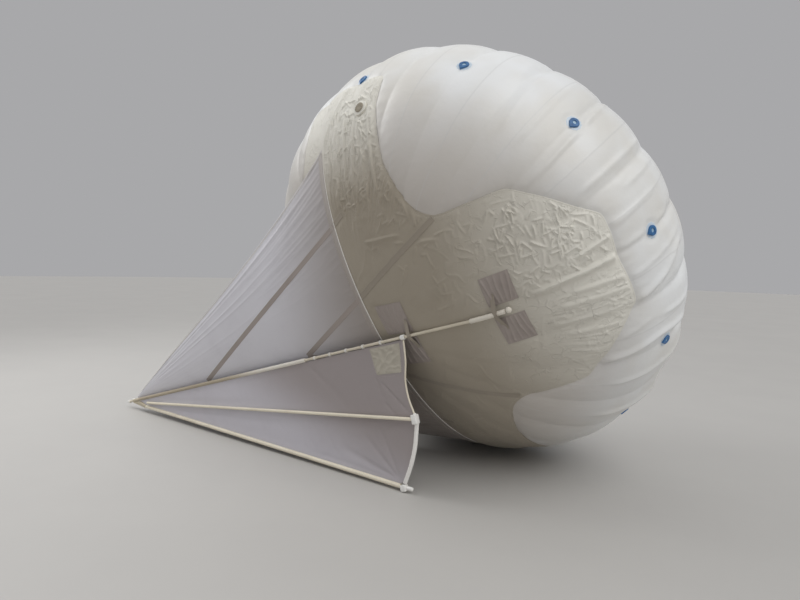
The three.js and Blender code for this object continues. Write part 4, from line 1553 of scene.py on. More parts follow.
    def pleated_patches(self) -> None:
        """The four glued patches beside the boom's ties, drawn into pleats by the straps' pull."""
        for name, x0, x1, y0, y1 in self.patches:
            for side, sign in (("left", 1), ("right", -1)):
                outline = Outline(np.array([(x0, y0), (x1, y0), (x1, y1), (x0, y1)]))
                plan, faces = outline.filled(0.0045, outline.corners)
                u, v = (plan[:, 0] - x0) / (x1 - x0), (plan[:, 1] - y0) / (y1 - y0)
                fan = (u - 0.5) / (1 + 0.7 * v)
                wander = 0.22 * Waves(31 + sign).smooth(u * 3, v * 1.5)
                pleat = (0.5 + 0.5 * np.cos(TURN * (7.5 * fan + wander))) ** 4
                pleat = pleat * (0.55 + 0.45 * Waves(35 + sign).smooth(u * 6, v * 1.2))
                held = ease(v, 0.0, 0.12) * ease(1 - v, 0.0, 0.1) * ease(np.minimum(u, 1 - u), 0.0, 0.08)
                height = 0.0062 + 0.0070 * pleat * held + 0.0015 * Waves(33).smooth(u * 4, v * 4) * held
                chart = self.skin.chart_of_plan(plan * [1, sign])
                points = self.lie.flight(self.skin.on_chart(chart, self.outer + height - 0.004))
                form = thickened(points, faces[:, ::-sign], plan, 0.0018)
                node = name + "_" + side
                patch = self.put(form, node + "_cloth", [Finish.PATCH], Slot.PATCH, [node])

    def build(self) -> None:
        """Makes the harness and all that is sewn on it."""
        self.cloth()
        self.hems()
        self.load_tapes()
        self.pleated_patches()


@dataclass
class Film(Assembly):
    """The envelope: film that swells out of the harness's windows and folds round its rim."""

    harness: Harness
    turns: int = 780
    rows: int = 118
    window_swell: float = 0.026
    window_reach: float = 0.075
    # latitudes in degrees, and the share of the rows up to each: most rows lie about the rim
    latitudes: tuple[float, ...] = (-90, -50, 34, 90)
    shares: tuple[float, ...] = (0, 0.16, 0.86, 1)
    # long folds from the rim to the harness: latitudes and azimuths in degrees, half width and height
    folds: Rows = (
        ((-36.5, -23.5, -9.5, -0.5), (12.8, 11.4, 8.5, 5.0), 0.021, 0.020),
        ((-37.0, -27.0, -14.6, -1.0), (25.8, 24.4, 22.6, 23.4), 0.021, 0.020),
        ((-30.0, -3.0), (46.5, 46.0), 0.019, 0.015),
        ((-24.0, 2.0), (5.1, 3.0), 0.014, 0.008),
        ((-32.0, -20.0), (19.9, 17.2), 0.013, 0.006),
        ((-12.0, 2.0), (18.0, 18.8), 0.014, 0.010),
        ((-26.0, -1.0), (-2.2, -2.0), 0.016, 0.009),
        ((-30.0, -3.0), (-7.3, -8.0), 0.014, 0.009),
        ((-10.0, 5.0), (-12.3, -12.6), 0.014, 0.008),
        ((-24.0, 10.0), (-17.2, -17.5), 0.016, 0.010),
        ((-32.0, 12.0), (-26.3, -28.0), 0.018, 0.012),
        ((-24.5, -5.0), (-39.6, -41.2), 0.014, 0.006),
        ((-30.0, 8.0), (33.5, 32.5), 0.018, 0.010),
        ((-26.0, 8.0), (-34.5, -35.0), 0.014, 0.006),
    )

    def relief(self, azimuth: Array, latitude: Array) -> Array:
        """How far the film stands out from the even skin.

        Args:
            azimuth: Round from the nose, in radians.
            latitude: Up from the rim, in radians.

        Returns:
            Heights in metres.
        """
        degrees = np.degrees(latitude)
        edge, _, along = self.harness.outline.measure(self.skin.chart(azimuth, latitude))
        gap = np.where(degrees < 0, -edge, 1.0)
        beyond = np.maximum(gap, 0)
        height = self.window_swell * (1 - np.exp(-beyond / self.window_reach)) * ease(degrees, -8, -32)
        height = height - 0.003 * ease(gap, 0.03, 0.0)
        pucker = Waves(41).ridges(along / 0.06, beyond / 0.3, 3)
        pucker = pucker + 0.5 * Waves(42).ridges(along / 0.028, beyond / 0.16, 3)
        height = height + 0.0055 * pucker * np.exp(-beyond / 0.085) * ease(gap, 0.0, 0.012)
        share = azimuth / TURN
        lean = 0.5 * Waves(43, 24).smooth(share * 24, latitude * 3)
        folds = Waves(44, 96).ridges(share * 96 + lean, latitude * 2.2, 3)
        folds = folds + 0.55 * Waves(45, 168).ridges(share * 168 + lean, latitude * 3.4 + 7, 3)
        near_rim = bell(degrees - 2, 20)
        near_seam = bell(self.skin.off_seam(azimuth), 0.45)
        patchy = 0.55 + 0.7 * Waves(46, 12).smooth(share * 12, latitude * 1.6 + 3)
        turned_to = np.degrees((azimuth + math.pi) % TURN - math.pi)
        calm = 1 - 0.7 * ease(turned_to, 26, 40) * ease(turned_to, 120, 90)
        open_film = ease(gap, 0.0, 0.05)
        small = 0.0060 * folds * (0.35 + 0.9 * near_seam) * np.maximum(patchy, 0.12) * near_rim
        tucked = 0.014 * bell(self.skin.off_seam(azimuth), 0.26) * bell(degrees - 3, 11)
        soft = Waves(47, 30).smooth(share * 30, latitude * 2)
        height = height + ((small - tucked) * calm + 0.004 * soft * near_rim) * open_film
        return height + self.long_folds(turned_to, degrees) * open_film

    def long_folds(self, turned_to: Array, degrees: Array) -> Array:
        """The height of the long folds at azimuths and latitudes in degrees."""
        height = np.zeros_like(degrees)
        for latitudes, azimuths, width, top in self.folds:
            off = np.radians(turned_to - np.interp(degrees, latitudes, azimuths))
            off = off * self.skin.radius * np.cos(np.radians(degrees))
            low, high = latitudes[0], latitudes[-1]
            taper = ease(degrees, low - 4, low + 4) * ease(degrees, high + 7, high - 2)
            lean = np.where(off > 0, 0.75, 1.35)
            height = np.maximum(height, top * bell(off, width * lean) * taper)
        return height

    def flattened(self, points: Array, heights: Array, swell: Array) -> Array:
        """The heights with the film drawn flat where a pad or the valve is glued to it."""
        pads = [RimTabs.centre(self.skin, k) for k in range(RimTabs.count)]
        spots = [(pad, RimTabs.pad_radius, RimTabs.level) for pad in pads]
        for centre, reach, level in [*spots, (FillValve.centre(self.skin), FillValve.glued, 0.0)]:
            gap = np.linalg.norm(points - centre, axis=-1)
            heights = heights + ease(gap, reach * 1.7, reach) * (level - swell - heights)
        return heights

    def build(self) -> None:
        """Makes the film as one closed surface."""
        latitude = np.radians(np.interp(np.linspace(0, 1, self.rows + 1), self.shares, self.latitudes))
        azimuth = self.skin.first_seam + even_turn(self.turns)
        rings, around = np.meshgrid(latitude[1:-1], azimuth, indexing="ij")
        heights = self.relief(around.ravel(), rings.ravel()).reshape(rings.shape)
        heights = self.flattened(self.skin.point(around, rings), heights, self.skin.swell(around, rings))
        body = self.skin.point(around, rings, heights)
        poles = np.array([[0, 0, -self.skin.belly + 0.003], [0, 0, self.skin.top]])
        share = np.arange(self.turns + 1) / self.turns
        upward = latitude / math.pi + 0.5
        low, high = share[:-1], share[1:]
        ends = []
        for first, second, edge, pole in ((high, low, upward[1], 0.0), (low, high, upward[-2], 1.0)):
            corners = [(first, edge), (second, edge), ((low + high) / 2, pole)]
            ends.append(np.stack([np.stack([u, np.full(self.turns, v)], -1) for u, v in corners], 1))
        form = ringed(body, share, upward[1:-1], poles=poles, ends=ends).moved(self.lie.flight)
        self.put(form, "envelope_film", [Finish.FILM], Slot.FILM, ["envelope"], 60)


@dataclass
class RimTabs(Assembly):
    """The blue tabs round the rim, each on a clear pad."""

    count = 13
    latitude = -9.6
    # the loops over the ends of the side arms, which sit lower
    low_loops = (3, 10)
    low_latitude = -14.5
    pad_radius = 0.047
    pad_thickness = 0.0015
    level = 0.006
    ring: float = 0.031
    tip: float = 0.047
    sides: int = 40
    pad_sides: int = 48
    scallops: int = 12
    # shares of the pad's radius from its middle out, and the height there
    pad_levels: tuple[Pair, ...] = (
        (0.0001, 0.0020), (0.35, 0.0020), (0.7, 0.0018), (0.92, 0.0016), (1.0, 0.0008), (1.02, -0.0035),
    )
    # shares of the tab's outline from its middle out, and the height there
    levels: tuple[Pair, ...] = (
        (0.20, 0.0046), (0.36, 0.0046), (0.40, 0.0088), (0.47, 0.0098), (0.84, 0.0098), (0.95, 0.0088),
        (1.0, 0.0062), (1.0, 0.0012), (0.5, 0.0010),
    )

    @classmethod
    def place(cls, skin: Skin, k: int) -> tuple[Array, Array]:
        """A tab's azimuth and latitude."""
        latitude = math.radians(cls.low_latitude if k in cls.low_loops else cls.latitude)
        return np.array(skin.first_seam + k * TURN / cls.count), np.array(latitude)

    @classmethod
    def centre(cls, skin: Skin, k: int) -> Array:
        """The middle of a tab's pad on the even skin."""
        return skin.point(*cls.place(skin, k))

    def axes(self, k: int) -> Array:
        """A tab's axes in the part's own frame, as columns: to its tip, sideways, and out."""
        turn, latitude = self.place(self.skin, k)
        out = self.skin.normal(turn, latitude)
        down = self.skin.point(turn, latitude - 0.01) - self.skin.point(turn, latitude)
        tip = unit(down - out * float(down @ out))
        return self.lie.turn @ np.stack([tip, np.cross(out, tip), out], -1)

    def pattern(self) -> Piece:
        """One tab: a pointed disc with a sunk eye, about the origin, its tip along +X."""
        turn = even_turn(self.sides)
        off = np.minimum(turn, TURN - turn)
        lean = math.acos(self.ring / self.tip)
        drop = np.where(off < lean, self.ring / np.cos(lean - off), self.ring)
        rings = []
        for share, height in self.levels:
            blend = float(ease(np.array(share), 0.42, 0.9))
            radius = share * (self.ring * (1 - blend) + drop * blend)
            rings.append(np.column_stack([turned_out(radius, turn), np.full(self.sides, height)]))
        form = ringed(np.stack(rings)).charted(0, 1)
        form = Form(
            form.points,
            [form.faces[0][: self.sides], form.faces[0][self.sides :], *form.faces[1:]],
            [form.places[0][: self.sides], form.places[0][self.sides :], *form.places[1:]],
            [1, 0, 1, 0],
        )
        return form.piece("tab_pattern", [Finish.BLUE.material, Finish.EYE.material])

    def tabs(self) -> None:
        """The tabs, one at every second seam."""
        seed = bpy.data.meshes.new("tab_places")
        frames = [self.axes(k) for k in range(self.count)]
        middles = [self.lie.flight(self.centre(self.skin, k)) for k in range(self.count)]
        lift = self.level + self.pad_thickness
        places = [tuple(middle + frame[:, 2] * lift) for middle, frame in zip(middles, frames)]
        seed.from_pydata(places, [], [])
        turns = seed.attributes.new("turn", "FLOAT_VECTOR", "POINT")
        euler = [Matrix(frame.tolist()).to_euler() for frame in frames]
        turns.data.foreach_set("vector", np.array(euler).ravel())
        pattern = self.pattern()
        tabs = copies_growth(pattern).grow("rim_tabs", seed, {"Size": 1.0})
        bpy.data.objects.remove(pattern)
        self.seat(tabs, Slot.BLUE, ["rim_loop_%02d" % (k + 1) for k in range(self.count)])

    def pads(self) -> None:
        """The scalloped pads under the tabs, glued to the film."""
        shares, heights = np.transpose(self.pad_levels)
        turn = even_turn(self.pad_sides)
        scallop = self.pad_radius * (1 + 0.035 * np.cos(turn * self.scallops))
        flat = shares[:, None, None] * turned_out(scallop, turn)
        sag = flat[..., 0] ** 2 / 1.30 + flat[..., 1] ** 2 / 3.2
        up = self.level + heights[:, None] - sag
        pad = ringed(np.concatenate([flat, up[..., None]], -1)).charted(0, 1)
        forms = []
        for k in range(self.count):
            frame, centre = self.axes(k), self.lie.flight(self.centre(self.skin, k))
            forms.append(pad.moved(lambda points: centre + points @ frame.T))
        self.put(Form.joined(forms), "rim_pads", [Finish.PAD], Slot.FILM)

    def build(self) -> None:
        """Makes the tabs and their pads."""
        self.pads()
        self.tabs()


@dataclass
class FillValve(Assembly):
    """The valve that the envelope is filled through, under a gathered cover."""

    azimuth = math.radians(-79.5)
    latitude = math.radians(-29)
    # how far round it the film is drawn flat
    glued = 0.06
    flange: float = 0.052
    cover: float = 0.034

    @classmethod
    def centre(cls, skin: Skin) -> Array:
        """Its middle on the even skin."""
        return skin.point(np.array(cls.azimuth), np.array(cls.latitude))

    def build(self) -> None:
        """Makes the flange and the cover."""
        out = self.skin.normal(np.array(self.azimuth), np.array(self.latitude))
        start = self.lie.flight(self.centre(self.skin))
        way = self.lie.flight(out)
        rim = [(0.001, 0.020), (0.001, 0.050), (0.012, self.flange), (0.0165, 0.0515), (0.018, 0.048)]
        rim += [(0.0175, 0.038), (0.0188, 0.036), (0.0186, 0.026), (0.0176, 0.0225)]
        self.put(turned(rim, start, way, 48), "valve_collar", [Finish.HARNESS], Slot.FITTING, ["fill_valve"])
        dome = [(0.0178, 0), (0.0178, 0.030), (0.0205, self.cover), (0.0245, 0.0332), (0.0270, 0.0295)]
        dome += [(0.0255, 0.022), (0.0275, 0.014), (0.0245, 0.006), (0.0240, 0)]
        cover = turned(dome, start, way, 72)
        spokes = cover.points - start
        level = spokes @ way
        flat = spokes - level[:, None] * way
        side = unit(np.cross(way, ASIDE))
        turn = np.arctan2(flat @ np.cross(way, side), flat @ side)
        gather = 0.0016 * np.cos(turn * 14) * ease(np.linalg.norm(flat, axis=1), 0.004, 0.02)
        cover.points = cover.points + gather[:, None] * way * (level > 0.019)[:, None]
        self.put(cover, "valve_cover", [Finish.VALVE_COVER], Slot.PATCH, ["fill_valve_cap"], 70)


@dataclass
class TailSail(Assembly):
    """The wide tail sail: one cloth from its hem across the belly to the tail tip."""

    harness: Harness
    half_span: float = 1.275
    lift: float = 0.030
    start: float = 0.060
    reach: float = 0.985
    hollow: float = 0.09
    thickness: float = 0.0016
    above_skin: float = 0.0105
    tape_height: float = 0.0014

    @staticmethod
    def hem_x(y: Array) -> Array:
        """Where the front hem is, ahead of the envelope's centre, at a place to the side."""
        return -0.045 - 0.085 * np.square(np.asarray(y) / TailSail.half_span)

    @cached_property
    def apex(self) -> Array:
        """Where the sail's lines meet, over the tail tip."""
        return self.lie.boom.at(self.start) + self.lift * self.lie.boom.up

    def middle(self, share: Array, along: Array) -> Array:
        """Points of the smooth sail in the flight frame: share is -1 to 1 across, along 0 to 1 to the tip."""
        drawn = share * (1 - self.hollow * 4 * along * (1 - along))
        y = self.half_span * drawn
        x = self.hem_x(y)
        hem = np.stack([x, y, -(self.skin.depth(x, y) + 0.004)], -1)
        return hem + (self.apex - hem) * (along * self.reach)[..., None]

    def relief(self, share: Array, along: Array) -> Array:
        """How far creases lift the cloth: they run with its pull, from the tail tip to its front corners."""
        outer = ease(np.abs(share), 0.3, 0.8)
        span = np.sin(np.pi * np.clip(along, 0, 1)) ** 0.6
        drift = 0.35 * Waves(51).smooth(share * 3, along * 3)
        long_creases = Waves(52).ridges(share * 8 + drift, along * 1.3, 5)
        short = Waves(53).ridges(share * 24 + drift, along * 4.5, 4) * ease(along, 0.5, 0.02)
        front = Waves(54).ridges(share * 15 + drift, along * 9, 4) * ease(along, 0.12, 0.0)
        ridge = bell(np.abs(share) - 0.93, 0.012) * ease(along, 0.02, 0.2) * ease(along, 0.97, 0.6)
        height = 0.0030 * long_creases * (0.25 + outer) * span
        height = height + 0.003 * short * outer * ease(along, 0.0, 0.03)
        return height + 0.003 * front * ease(along, 0.0, 0.02) + 0.005 * ridge

    def surface(self, share: Array, along: Array, offset: float = 0.0) -> Array:
        """Points of the creased sail in the part's own frame, offset away from the belly."""
        step = 0.004
        across = self.middle(share + step, along) - self.middle(share - step, along)
        low, high = np.maximum(along - step, 0), np.minimum(along + step, 1)
        forward = self.middle(share, high) - self.middle(share, low)
        out = unit(np.cross(across, forward))
        out = out * np.where(out[..., 2:] > 0, -1, 1)
        points = self.middle(share, along) + out * (self.relief(share, along) + offset)[..., None]
        return self.lie.flight(self.skin.kept_off(points, self.above_skin + offset))

    def outward(self, share: Array, along: Array) -> Array:
        """The way out of the sail, away from the belly, in the part's own frame."""
        step = 0.01
        across = self.surface(share + step, along) - self.surface(share - step, along)
        forward = self.surface(share, along + step) - self.surface(share, along - step)
        out = unit(np.cross(across, forward))
        down = self.lie.flight(np.array([0, 0, -1.0]))
        return out * np.where(out @ down < 0, -1, 1)[..., None]

    def cloth(self) -> None:
        """The sail's cloth."""
        share, along = np.linspace(-1, 1, 321), np.linspace(0, 1, 121)
        rows, columns = np.meshgrid(along, share, indexing="ij")
        points = self.surface(columns.ravel(), rows.ravel())
        quads = grid_faces(len(along), len(share), False)
        faces = np.vstack([quads[:, [0, 1, 2]], quads[:, [0, 2, 3]]])
        slant = np.linalg.norm(self.middle(np.zeros(1), np.zeros(1)) - self.apex)
        drawn = columns.ravel() * self.half_span * (1 - 0.98 * rows.ravel())
        flat = np.stack([drawn, rows.ravel() * slant], -1)
        form = thickened(points, faces, flat, self.thickness).outward()
        cloth = self.put(form, "tail_sail_cloth", [Finish.SAIL], Slot.SAIL, ["tail_sail"])

    def line(self, shares: Array, alongs: Array, offset: float) -> tuple[Array, Array]:
        """A line on the sail with the ways out of it."""
        return self.surface(shares, alongs, offset), self.outward(shares, alongs)

    def hems(self) -> None:
        """The wide double hem at the front, the hems of the free edges, and the front hem's stitches."""
        across = np.linspace(-0.985, 0.985, 300)
        bands = []
        path, ups = self.line(across, np.full_like(across, 0.0080), 0.0006)
        bands.append(swept(path, ups, flat_section(0.044, 0.0022, 0.0016)))
        path, ups = self.line(across, np.zeros_like(across), -0.0022)
        roll = swept(path, ups, round_section(0.0038, 10))
        roll.tones = [1] * len(roll.faces)
        bands.append(roll)
        down = np.linspace(0.004, 0.965, 260)
        for side in (-1, 1):
            path, ups = self.line(np.full_like(down, side * 0.988), down, 0.0)
            narrow = np.interp(down, [0, 0.85, 1], [1, 1, 0.45])
            bands.append(swept(path, ups, flat_section(0.012, 0.0016, 0.0006), narrow))
        self.put(Form.joined(bands), "tail_sail_hems", [Finish.SAIL_HEM, Finish.LUFF], Slot.SAIL)
        rows = [self.line(across, np.full_like(across, place), 0.0034)[0] for place in (0.0025, 0.0135)]
        self.sew("tail_sail_stitches", rows, Slot.SAIL)

    def place_of_plan(self, plan: Array) -> tuple[Array, Array]:
        """Where on the sail places in plan lie, as shares across and along it."""
        drawn = np.zeros(len(plan))
        along = np.zeros(len(plan))
        for _ in range(30):
            hem = self.hem_x(self.half_span * drawn)
            along = np.clip((plan[:, 0] - hem) / (self.reach * (self.apex[0] - hem)), 0, 1)
            drawn = plan[:, 1] / (self.half_span * (1 - self.reach * along))
        return drawn / (1 - self.hollow * 4 * along * (1 - along)), along

    def load_tapes(self) -> None:
        """The load tapes where they cross the sail."""
        section = flat_section(self.harness.tape_width, self.tape_height, self.harness.tape_ribs)
        bands = []
        for plan in self.harness.tape_plans(260):
            behind = plan[plan[:, 0] < self.hem_x(plan[:, 1]) - 0.004]
            bands.append(swept(*self.line(*self.place_of_plan(behind), 0.0008), section))
        self.put(Form.joined(bands), "tail_sail_load_tapes", [Finish.SAIL_TAPE], Slot.PATCH)

    def build(self) -> None:
        """Makes the sail and what is sewn on it."""
        self.cloth()
        self.hems()
        self.load_tapes()


@dataclass
class BoomRig(Assembly):
    """The boom, its bent front end, and what ties it to the belly and the tail sail."""

    knob_radius: float = 0.019
    knob_ahead: float = 0.021
    strap_width: float = 0.034
    ferrules: Pair = (2.60, 3.72)
    # what the saddle leaves free between the boom and the tail sail
    saddle_gaps: float = 0.0026
    # a strap's node, its place ahead of the centre, the radius that it grips, and how far its feet reach
    straps: Rows = (
        ("rear_strap", 0.258, 0.010, 0.078),
        ("front_strap", 0.880, 0.017, 0.092),
    )

    def tube(self) -> None:
        """The boom's straight run, with a ferrule at each joint of its sections."""
        way = self.lie.flight(self.boom.way)
        start = self.lie.flight(self.boom.tip)
        radius, end = self.boom.radius, self.boom.bend_start
        profile = [(0, 0), (0, radius * 0.85), (0.0015, radius)]
        for place in self.ferrules:
            profile += [(place, radius), (place + 0.001, radius + 0.0007), (place + 0.03, radius + 0.0007)]
            profile += [(place + 0.031, radius)]
        profile += [(end - 0.001, radius), (end, radius * 0.85), (end, 0)]
        rows = np.array(profile)
        fine = [rows[0]]
        for a, b in zip(rows[:-1], rows[1:]):
            steps = max(1, int((b[0] - a[0]) / 0.05))
            fine += [a + (b - a) * (k + 1) / steps for k in range(steps)]
        self.put(turned(fine, start, way, 28), "boom_tube", [Finish.BOOM], Slot.ROD, ["boom"])

    def front_end(self) -> None:
        """The wrapped, bent front end, with the knob and the tie up to the belly."""
        share = np.linspace(0.003, 1, 60)
        path = self.lie.flight(self.boom.front(share))
        ups = self.lie.flight(np.array([0, 1.0, 0]))
        lumps = 1 + 0.035 * Waves(61).smooth(share * 9, share * 0) + 0.03 * np.sin(share * 70)
        lumps = lumps * np.interp(share, [0, 0.03, 0.97, 1], [0.86, 1, 1, 0.9])
        wrap = swept(path, ups, round_section(self.boom.end_radius, 28), lumps)
        self.put(wrap, "boom_end_wrap", [Finish.SLEEVE], Slot.ROD, ["boom_end_sleeve"])
        ahead = unit(path[-1] - path[-2])
        centre = path[-1] + ahead * self.knob_ahead
        turn = np.linspace(0, math.pi, 17)
        ball = [(-math.cos(t) * self.knob_radius, max(math.sin(t), 0) * self.knob_radius) for t in turn]
        ball[0], ball[-1] = (-self.knob_radius, 0), (self.knob_radius, 0)
        knob = turned(ball, centre, ahead, 32)
        out = self.lie.flight(np.array([0, 0, 1.0]))
        back = self.lie.flight(np.array([-1.0, 0, 0]))
        root = centre + back * 0.010 + out * 0.031
        cord = np.array([centre + (root - centre) * k for k in np.linspace(0, 1, 12)])
        twist = 1 + 0.12 * np.sin(np.linspace(0, 30, 12))
        tie = swept(cord, back, round_section(0.007, 14), twist)
        profile = [(0.012, 0.0075), (0.012, 0.0115), (0.018, 0.012), (0.022, 0.0075)]
        cuff = turned(profile, centre, root - centre, 24)
        for part in (tie, cuff):
            part.tones = [1] * len(part.faces)
        form = Form.joined([knob, tie, cuff])
        self.put(form, "nose_knob_and_tie", [Finish.SLEEVE, Finish.TAPE], Slot.FITTING, ["nose_tie"])

    def strap_path(self, x: float, grip: float, reach: float) -> Array:
        """The middle line of a strap across the boom, in the flight frame, from foot to foot."""
        boom_z = self.boom.height(x)
        foot_z = -(float(self.skin.depth(x, reach)) + 0.0095)
        radius = grip + 0.0016
        slant = math.hypot(reach, foot_z - boom_z)
        first = math.atan2(foot_z - boom_z, reach) - math.acos(radius / slant)
        turn = np.linspace(first, -math.pi - first, 25)
        arc = np.stack([radius * np.cos(turn), boom_z + radius * np.sin(turn)], -1)
        flare = reach + 0.030
        flat_z = -(float(self.skin.depth(x, flare)) + 0.0115)
        right = [(flare, flat_z), (reach + 0.012, foot_z - 0.0015)]
        left = [(-side, up) for side, up in reversed(right)]
        rows = np.vstack([right, arc, left])
        place = lengths(rows)
        even = np.linspace(0, place[-1], 80)
        line = np.stack([np.interp(even, place, rows[:, k]) for k in range(2)], -1)
        return np.stack([np.full(80, x), line[:, 0], line[:, 1]], -1)

    def webbing(self) -> None:
        """The straps that hold the boom to the patches, with a sewn foot at each end."""
        for name, x, grip, reach in self.straps:
            path = self.lie.flight(self.strap_path(x, grip, reach))
            way = unit(np.gradient(path, axis=0))
            ahead = self.lie.flight(np.array([1.0, 0, 0]))
            ups = np.cross(way, ahead)
            centre = path.mean(0)
            flip = 1 if float(((path[40] - centre) * ups[40]).sum()) > 0 else -1
            section = flat_section(self.strap_width, 0.0018, 0.0004) - [0, 0.0009]
            band = swept(path, ups * flip, section)
            self.put(band, name + "_webbing", [Finish.TAPE], Slot.PATCH, [name])

    def tail_end(self) -> None:
        """The cap on the tail tip, and the saddle that carries the tail sail."""
        way = self.lie.flight(self.boom.way)
        start = self.lie.flight(self.boom.tip)
        cap = [(-0.0003, 0), (-0.0003, 0.0155), (-0.002, 0.017), (-0.010, 0.0172), (-0.020, 0.0165)]
        cap += [(-0.025, 0.013), (-0.026, 0.006), (-0.026, 0)]
        self.put(turned(cap, start, way, 32), "tail_tip_cap", [Finish.FITTING], Slot.FITTING, ["tail_cap"])
        height = TailSail.lift - self.boom.radius - self.saddle_gaps
        middle = self.boom.at(0.032) + self.boom.up * (self.boom.radius + 0.0003 + height / 2)
        box = block((0.044, 0.026, height), 0.003)
        axes = np.stack([self.boom.way, [0, 1, 0], self.boom.up], -1)
        made = box.moved(lambda points: self.lie.flight(middle + points @ axes.T))
        self.put(made, "tail_sail_saddle", [Finish.FITTING], Slot.FITTING, ["tail_saddle"])

    def build(self) -> None:
        """Makes the boom and its ties."""
        self.tube()
        self.front_end()
        self.webbing()
        self.tail_end()


@dataclass
class Keel(Assembly):
    """The keel: a sail under the boom on two spars, with a bowed leading edge. It turns about the boom."""

    body: ClassVar[Body] = Body.KEEL
    foot: Pair = (3.234, -0.964)
    mid: Pair = (3.443, -0.534)
    spar_radius: float = 0.016
    sleeve_radius: float = 0.015
    bore: float = 0.0107
    thickness: float = 0.0016
    patch_thickness: float = 0.0012
    sleeve_end: float = 2.541
    boot: Pair = (0.064, 0.176)
    top: float = 3.471
    collar_half: float = 0.016
    collar_radius: float = 0.017
    mid_block: Triple = (0.038, 0.046, 0.062)
    mid_side: float = -0.009
    foot_block: Triple = (0.044, 0.040, 0.044)
    foot_drop: float = 0.006
    # a rod's piece, node, end, radius, start and stop along it, and its place to the side
    rods: Rows = (
        ("foot_spar_tube", "foot_spar", (3.234, -0.964), 0.016, 0.288, 0.026, 0.0),
        ("mid_strut_tube", "mid_strut", (3.443, -0.534), 0.012, 0.330, 0.0225, -0.0143),
    )
    # the boot's pocket: along the boom, its top and its bottom
    pocket: tuple[Triple, ...] = (
        (0.070, -0.010, -0.022), (0.176, -0.017, -0.0618), (0.262, -0.059, -0.0940), (0.276, -0.066, -0.0985),
    )
    lashings: tuple[float, ...] = (2.640, 2.800, 2.960, 3.120, 3.280)
    # the patch's corners and those of its seam, along the boom and up, and its flat size
    patch: tuple[Pair, ...] = ((3.172, -0.026), (3.193, -0.209), (3.404, -0.222), (3.434, -0.030))
    patch_seam: tuple[Pair, ...] = ((3.180, -0.036), (3.199, -0.202), (3.398, -0.214), (3.426, -0.038))
    patch_size: Pair = (0.262, 0.196)
    upper_edge: tuple[Pair, ...] = (
        (3.471, -0.018), (3.455, -0.148), (3.418, -0.301), (3.419, -0.400), (3.438, -0.499)
    )
    lower_edge: tuple[Pair, ...] = (
        (3.441, -0.571), (3.424, -0.620), (3.391, -0.710), (3.331, -0.822), (3.250, -0.938)
    )
    # creases: from and to, along the boom and up, then half width and height
    creases: Rows = (
        (3.205, -0.245, 3.415, -0.515, 0.007, 0.0060),
        (3.175, -0.215, 3.215, -0.400, 0.012, 0.0040),
        (3.215, -0.400, 3.330, -0.560, 0.012, 0.0036),
        (3.415, -0.515, 3.150, -0.600, 0.020, 0.0050),
        (3.215, -0.925, 2.700, -0.640, 0.022, 0.0055),
        (3.215, -0.925, 2.950, -0.560, 0.018, 0.0050),
        (3.215, -0.925, 3.120, -0.520, 0.015, 0.0045),
        (3.215, -0.925, 2.350, -0.660, 0.016, 0.0045),
        (2.550, -0.030, 2.900, -0.420, 0.030, 0.0040),
        (0.450, -0.040, 2.200, -0.300, 0.030, 0.0040),
        (0.700, -0.165, 2.400, -0.480, 0.028, 0.0040),
    )

    def row(self, flat: Array, side: Array | float = 0.0) -> Array:
        """Points of the keel's plane, along the boom and up, in the part's own frame."""
        flat = np.asarray(flat, float)
        y = np.broadcast_to(side, flat.shape[:-1])
        return self.lie.keel(np.stack([flat[..., 0], y, flat[..., 1]], -1))

    def outline(self) -> Outline:
        """The sail's edge in the keel's plane."""
        clear = 0.0006

        def hem(points: Sequence[Sequence[float]], radius: float) -> Array:
            """The line beside a leading-edge tube, on the sail's side."""
            line = through(points, 30)
            way = unit(np.gradient(line, axis=0))
            return line + (radius + clear) * np.stack([way[:, 1], -way[:, 0]], -1)

        slope = math.atan2(-self.foot[1], self.foot[0])

        def on_spar(along: float) -> list[float]:
            """A place just above the foot spar."""
            return [along, -along * math.tan(slope) + (self.spar_radius + clear) / math.cos(slope)]

        behind_mid = self.mid[0] - self.mid_block[0] / 2 - clear
        behind_foot = self.foot[0] - self.foot_block[0] / 2 - clear
        start, under = self.top - self.collar_half, -self.sleeve_radius - 0.0003
        upper = [[self.boot[1] + 0.008, under], [start - 0.003, under]]
        upper += [[start - 0.001, -self.collar_radius - 0.0003]]
        half = self.mid_block[2] / 2
        corner = [[behind_mid, self.mid[1] + half + 0.003], [behind_mid, self.mid[1] - half - clear]]
        last = [on_spar(behind_foot), on_spar(0.280)]
        parts = [upper, hem(self.upper_edge, 0.006), corner, hem(self.lower_edge, 0.014), last]
        return Outline(np.vstack(parts))

    @staticmethod
    def off_line(flat: Array, start: Sequence[float], end: Sequence[float]) -> tuple[Array, Array]:
        """How far places are from a line, and how far along it as a share."""
        way = np.subtract(end, start)
        share = ((flat - start) @ way) / float(way @ way)
        return np.linalg.norm(flat - start - np.clip(share, 0, 1)[:, None] * way, axis=1), share

    def billow(self, flat: Array) -> Array:
        """How far the sail's cloth stands to the far side of the keel's plane."""
        total = np.zeros(len(flat))
        for x0, z0, x1, z1, width, height in self.creases:
            off, share = self.off_line(flat, (x0, z0), (x1, z1))
            taper = ease(share, -0.02, 0.12) * ease(share, 1.02, 0.7)
            total = np.maximum(total, height * bell(off, width * (0.5 + share.clip(0, 1))) * taper)
        away = Waves(71).smooth(flat[:, 0] / 0.45, flat[:, 1] / 0.3)
        fine = Waves(72).ridges(flat[:, 0] / 0.11, flat[:, 1] / 0.2, 5)
        total = total + 0.0035 * (0.5 + 0.5 * away) + 0.0012 * fine
        edge = self.outline().measure(flat)[0]
        return total * ease(edge, 0.0, 0.05)

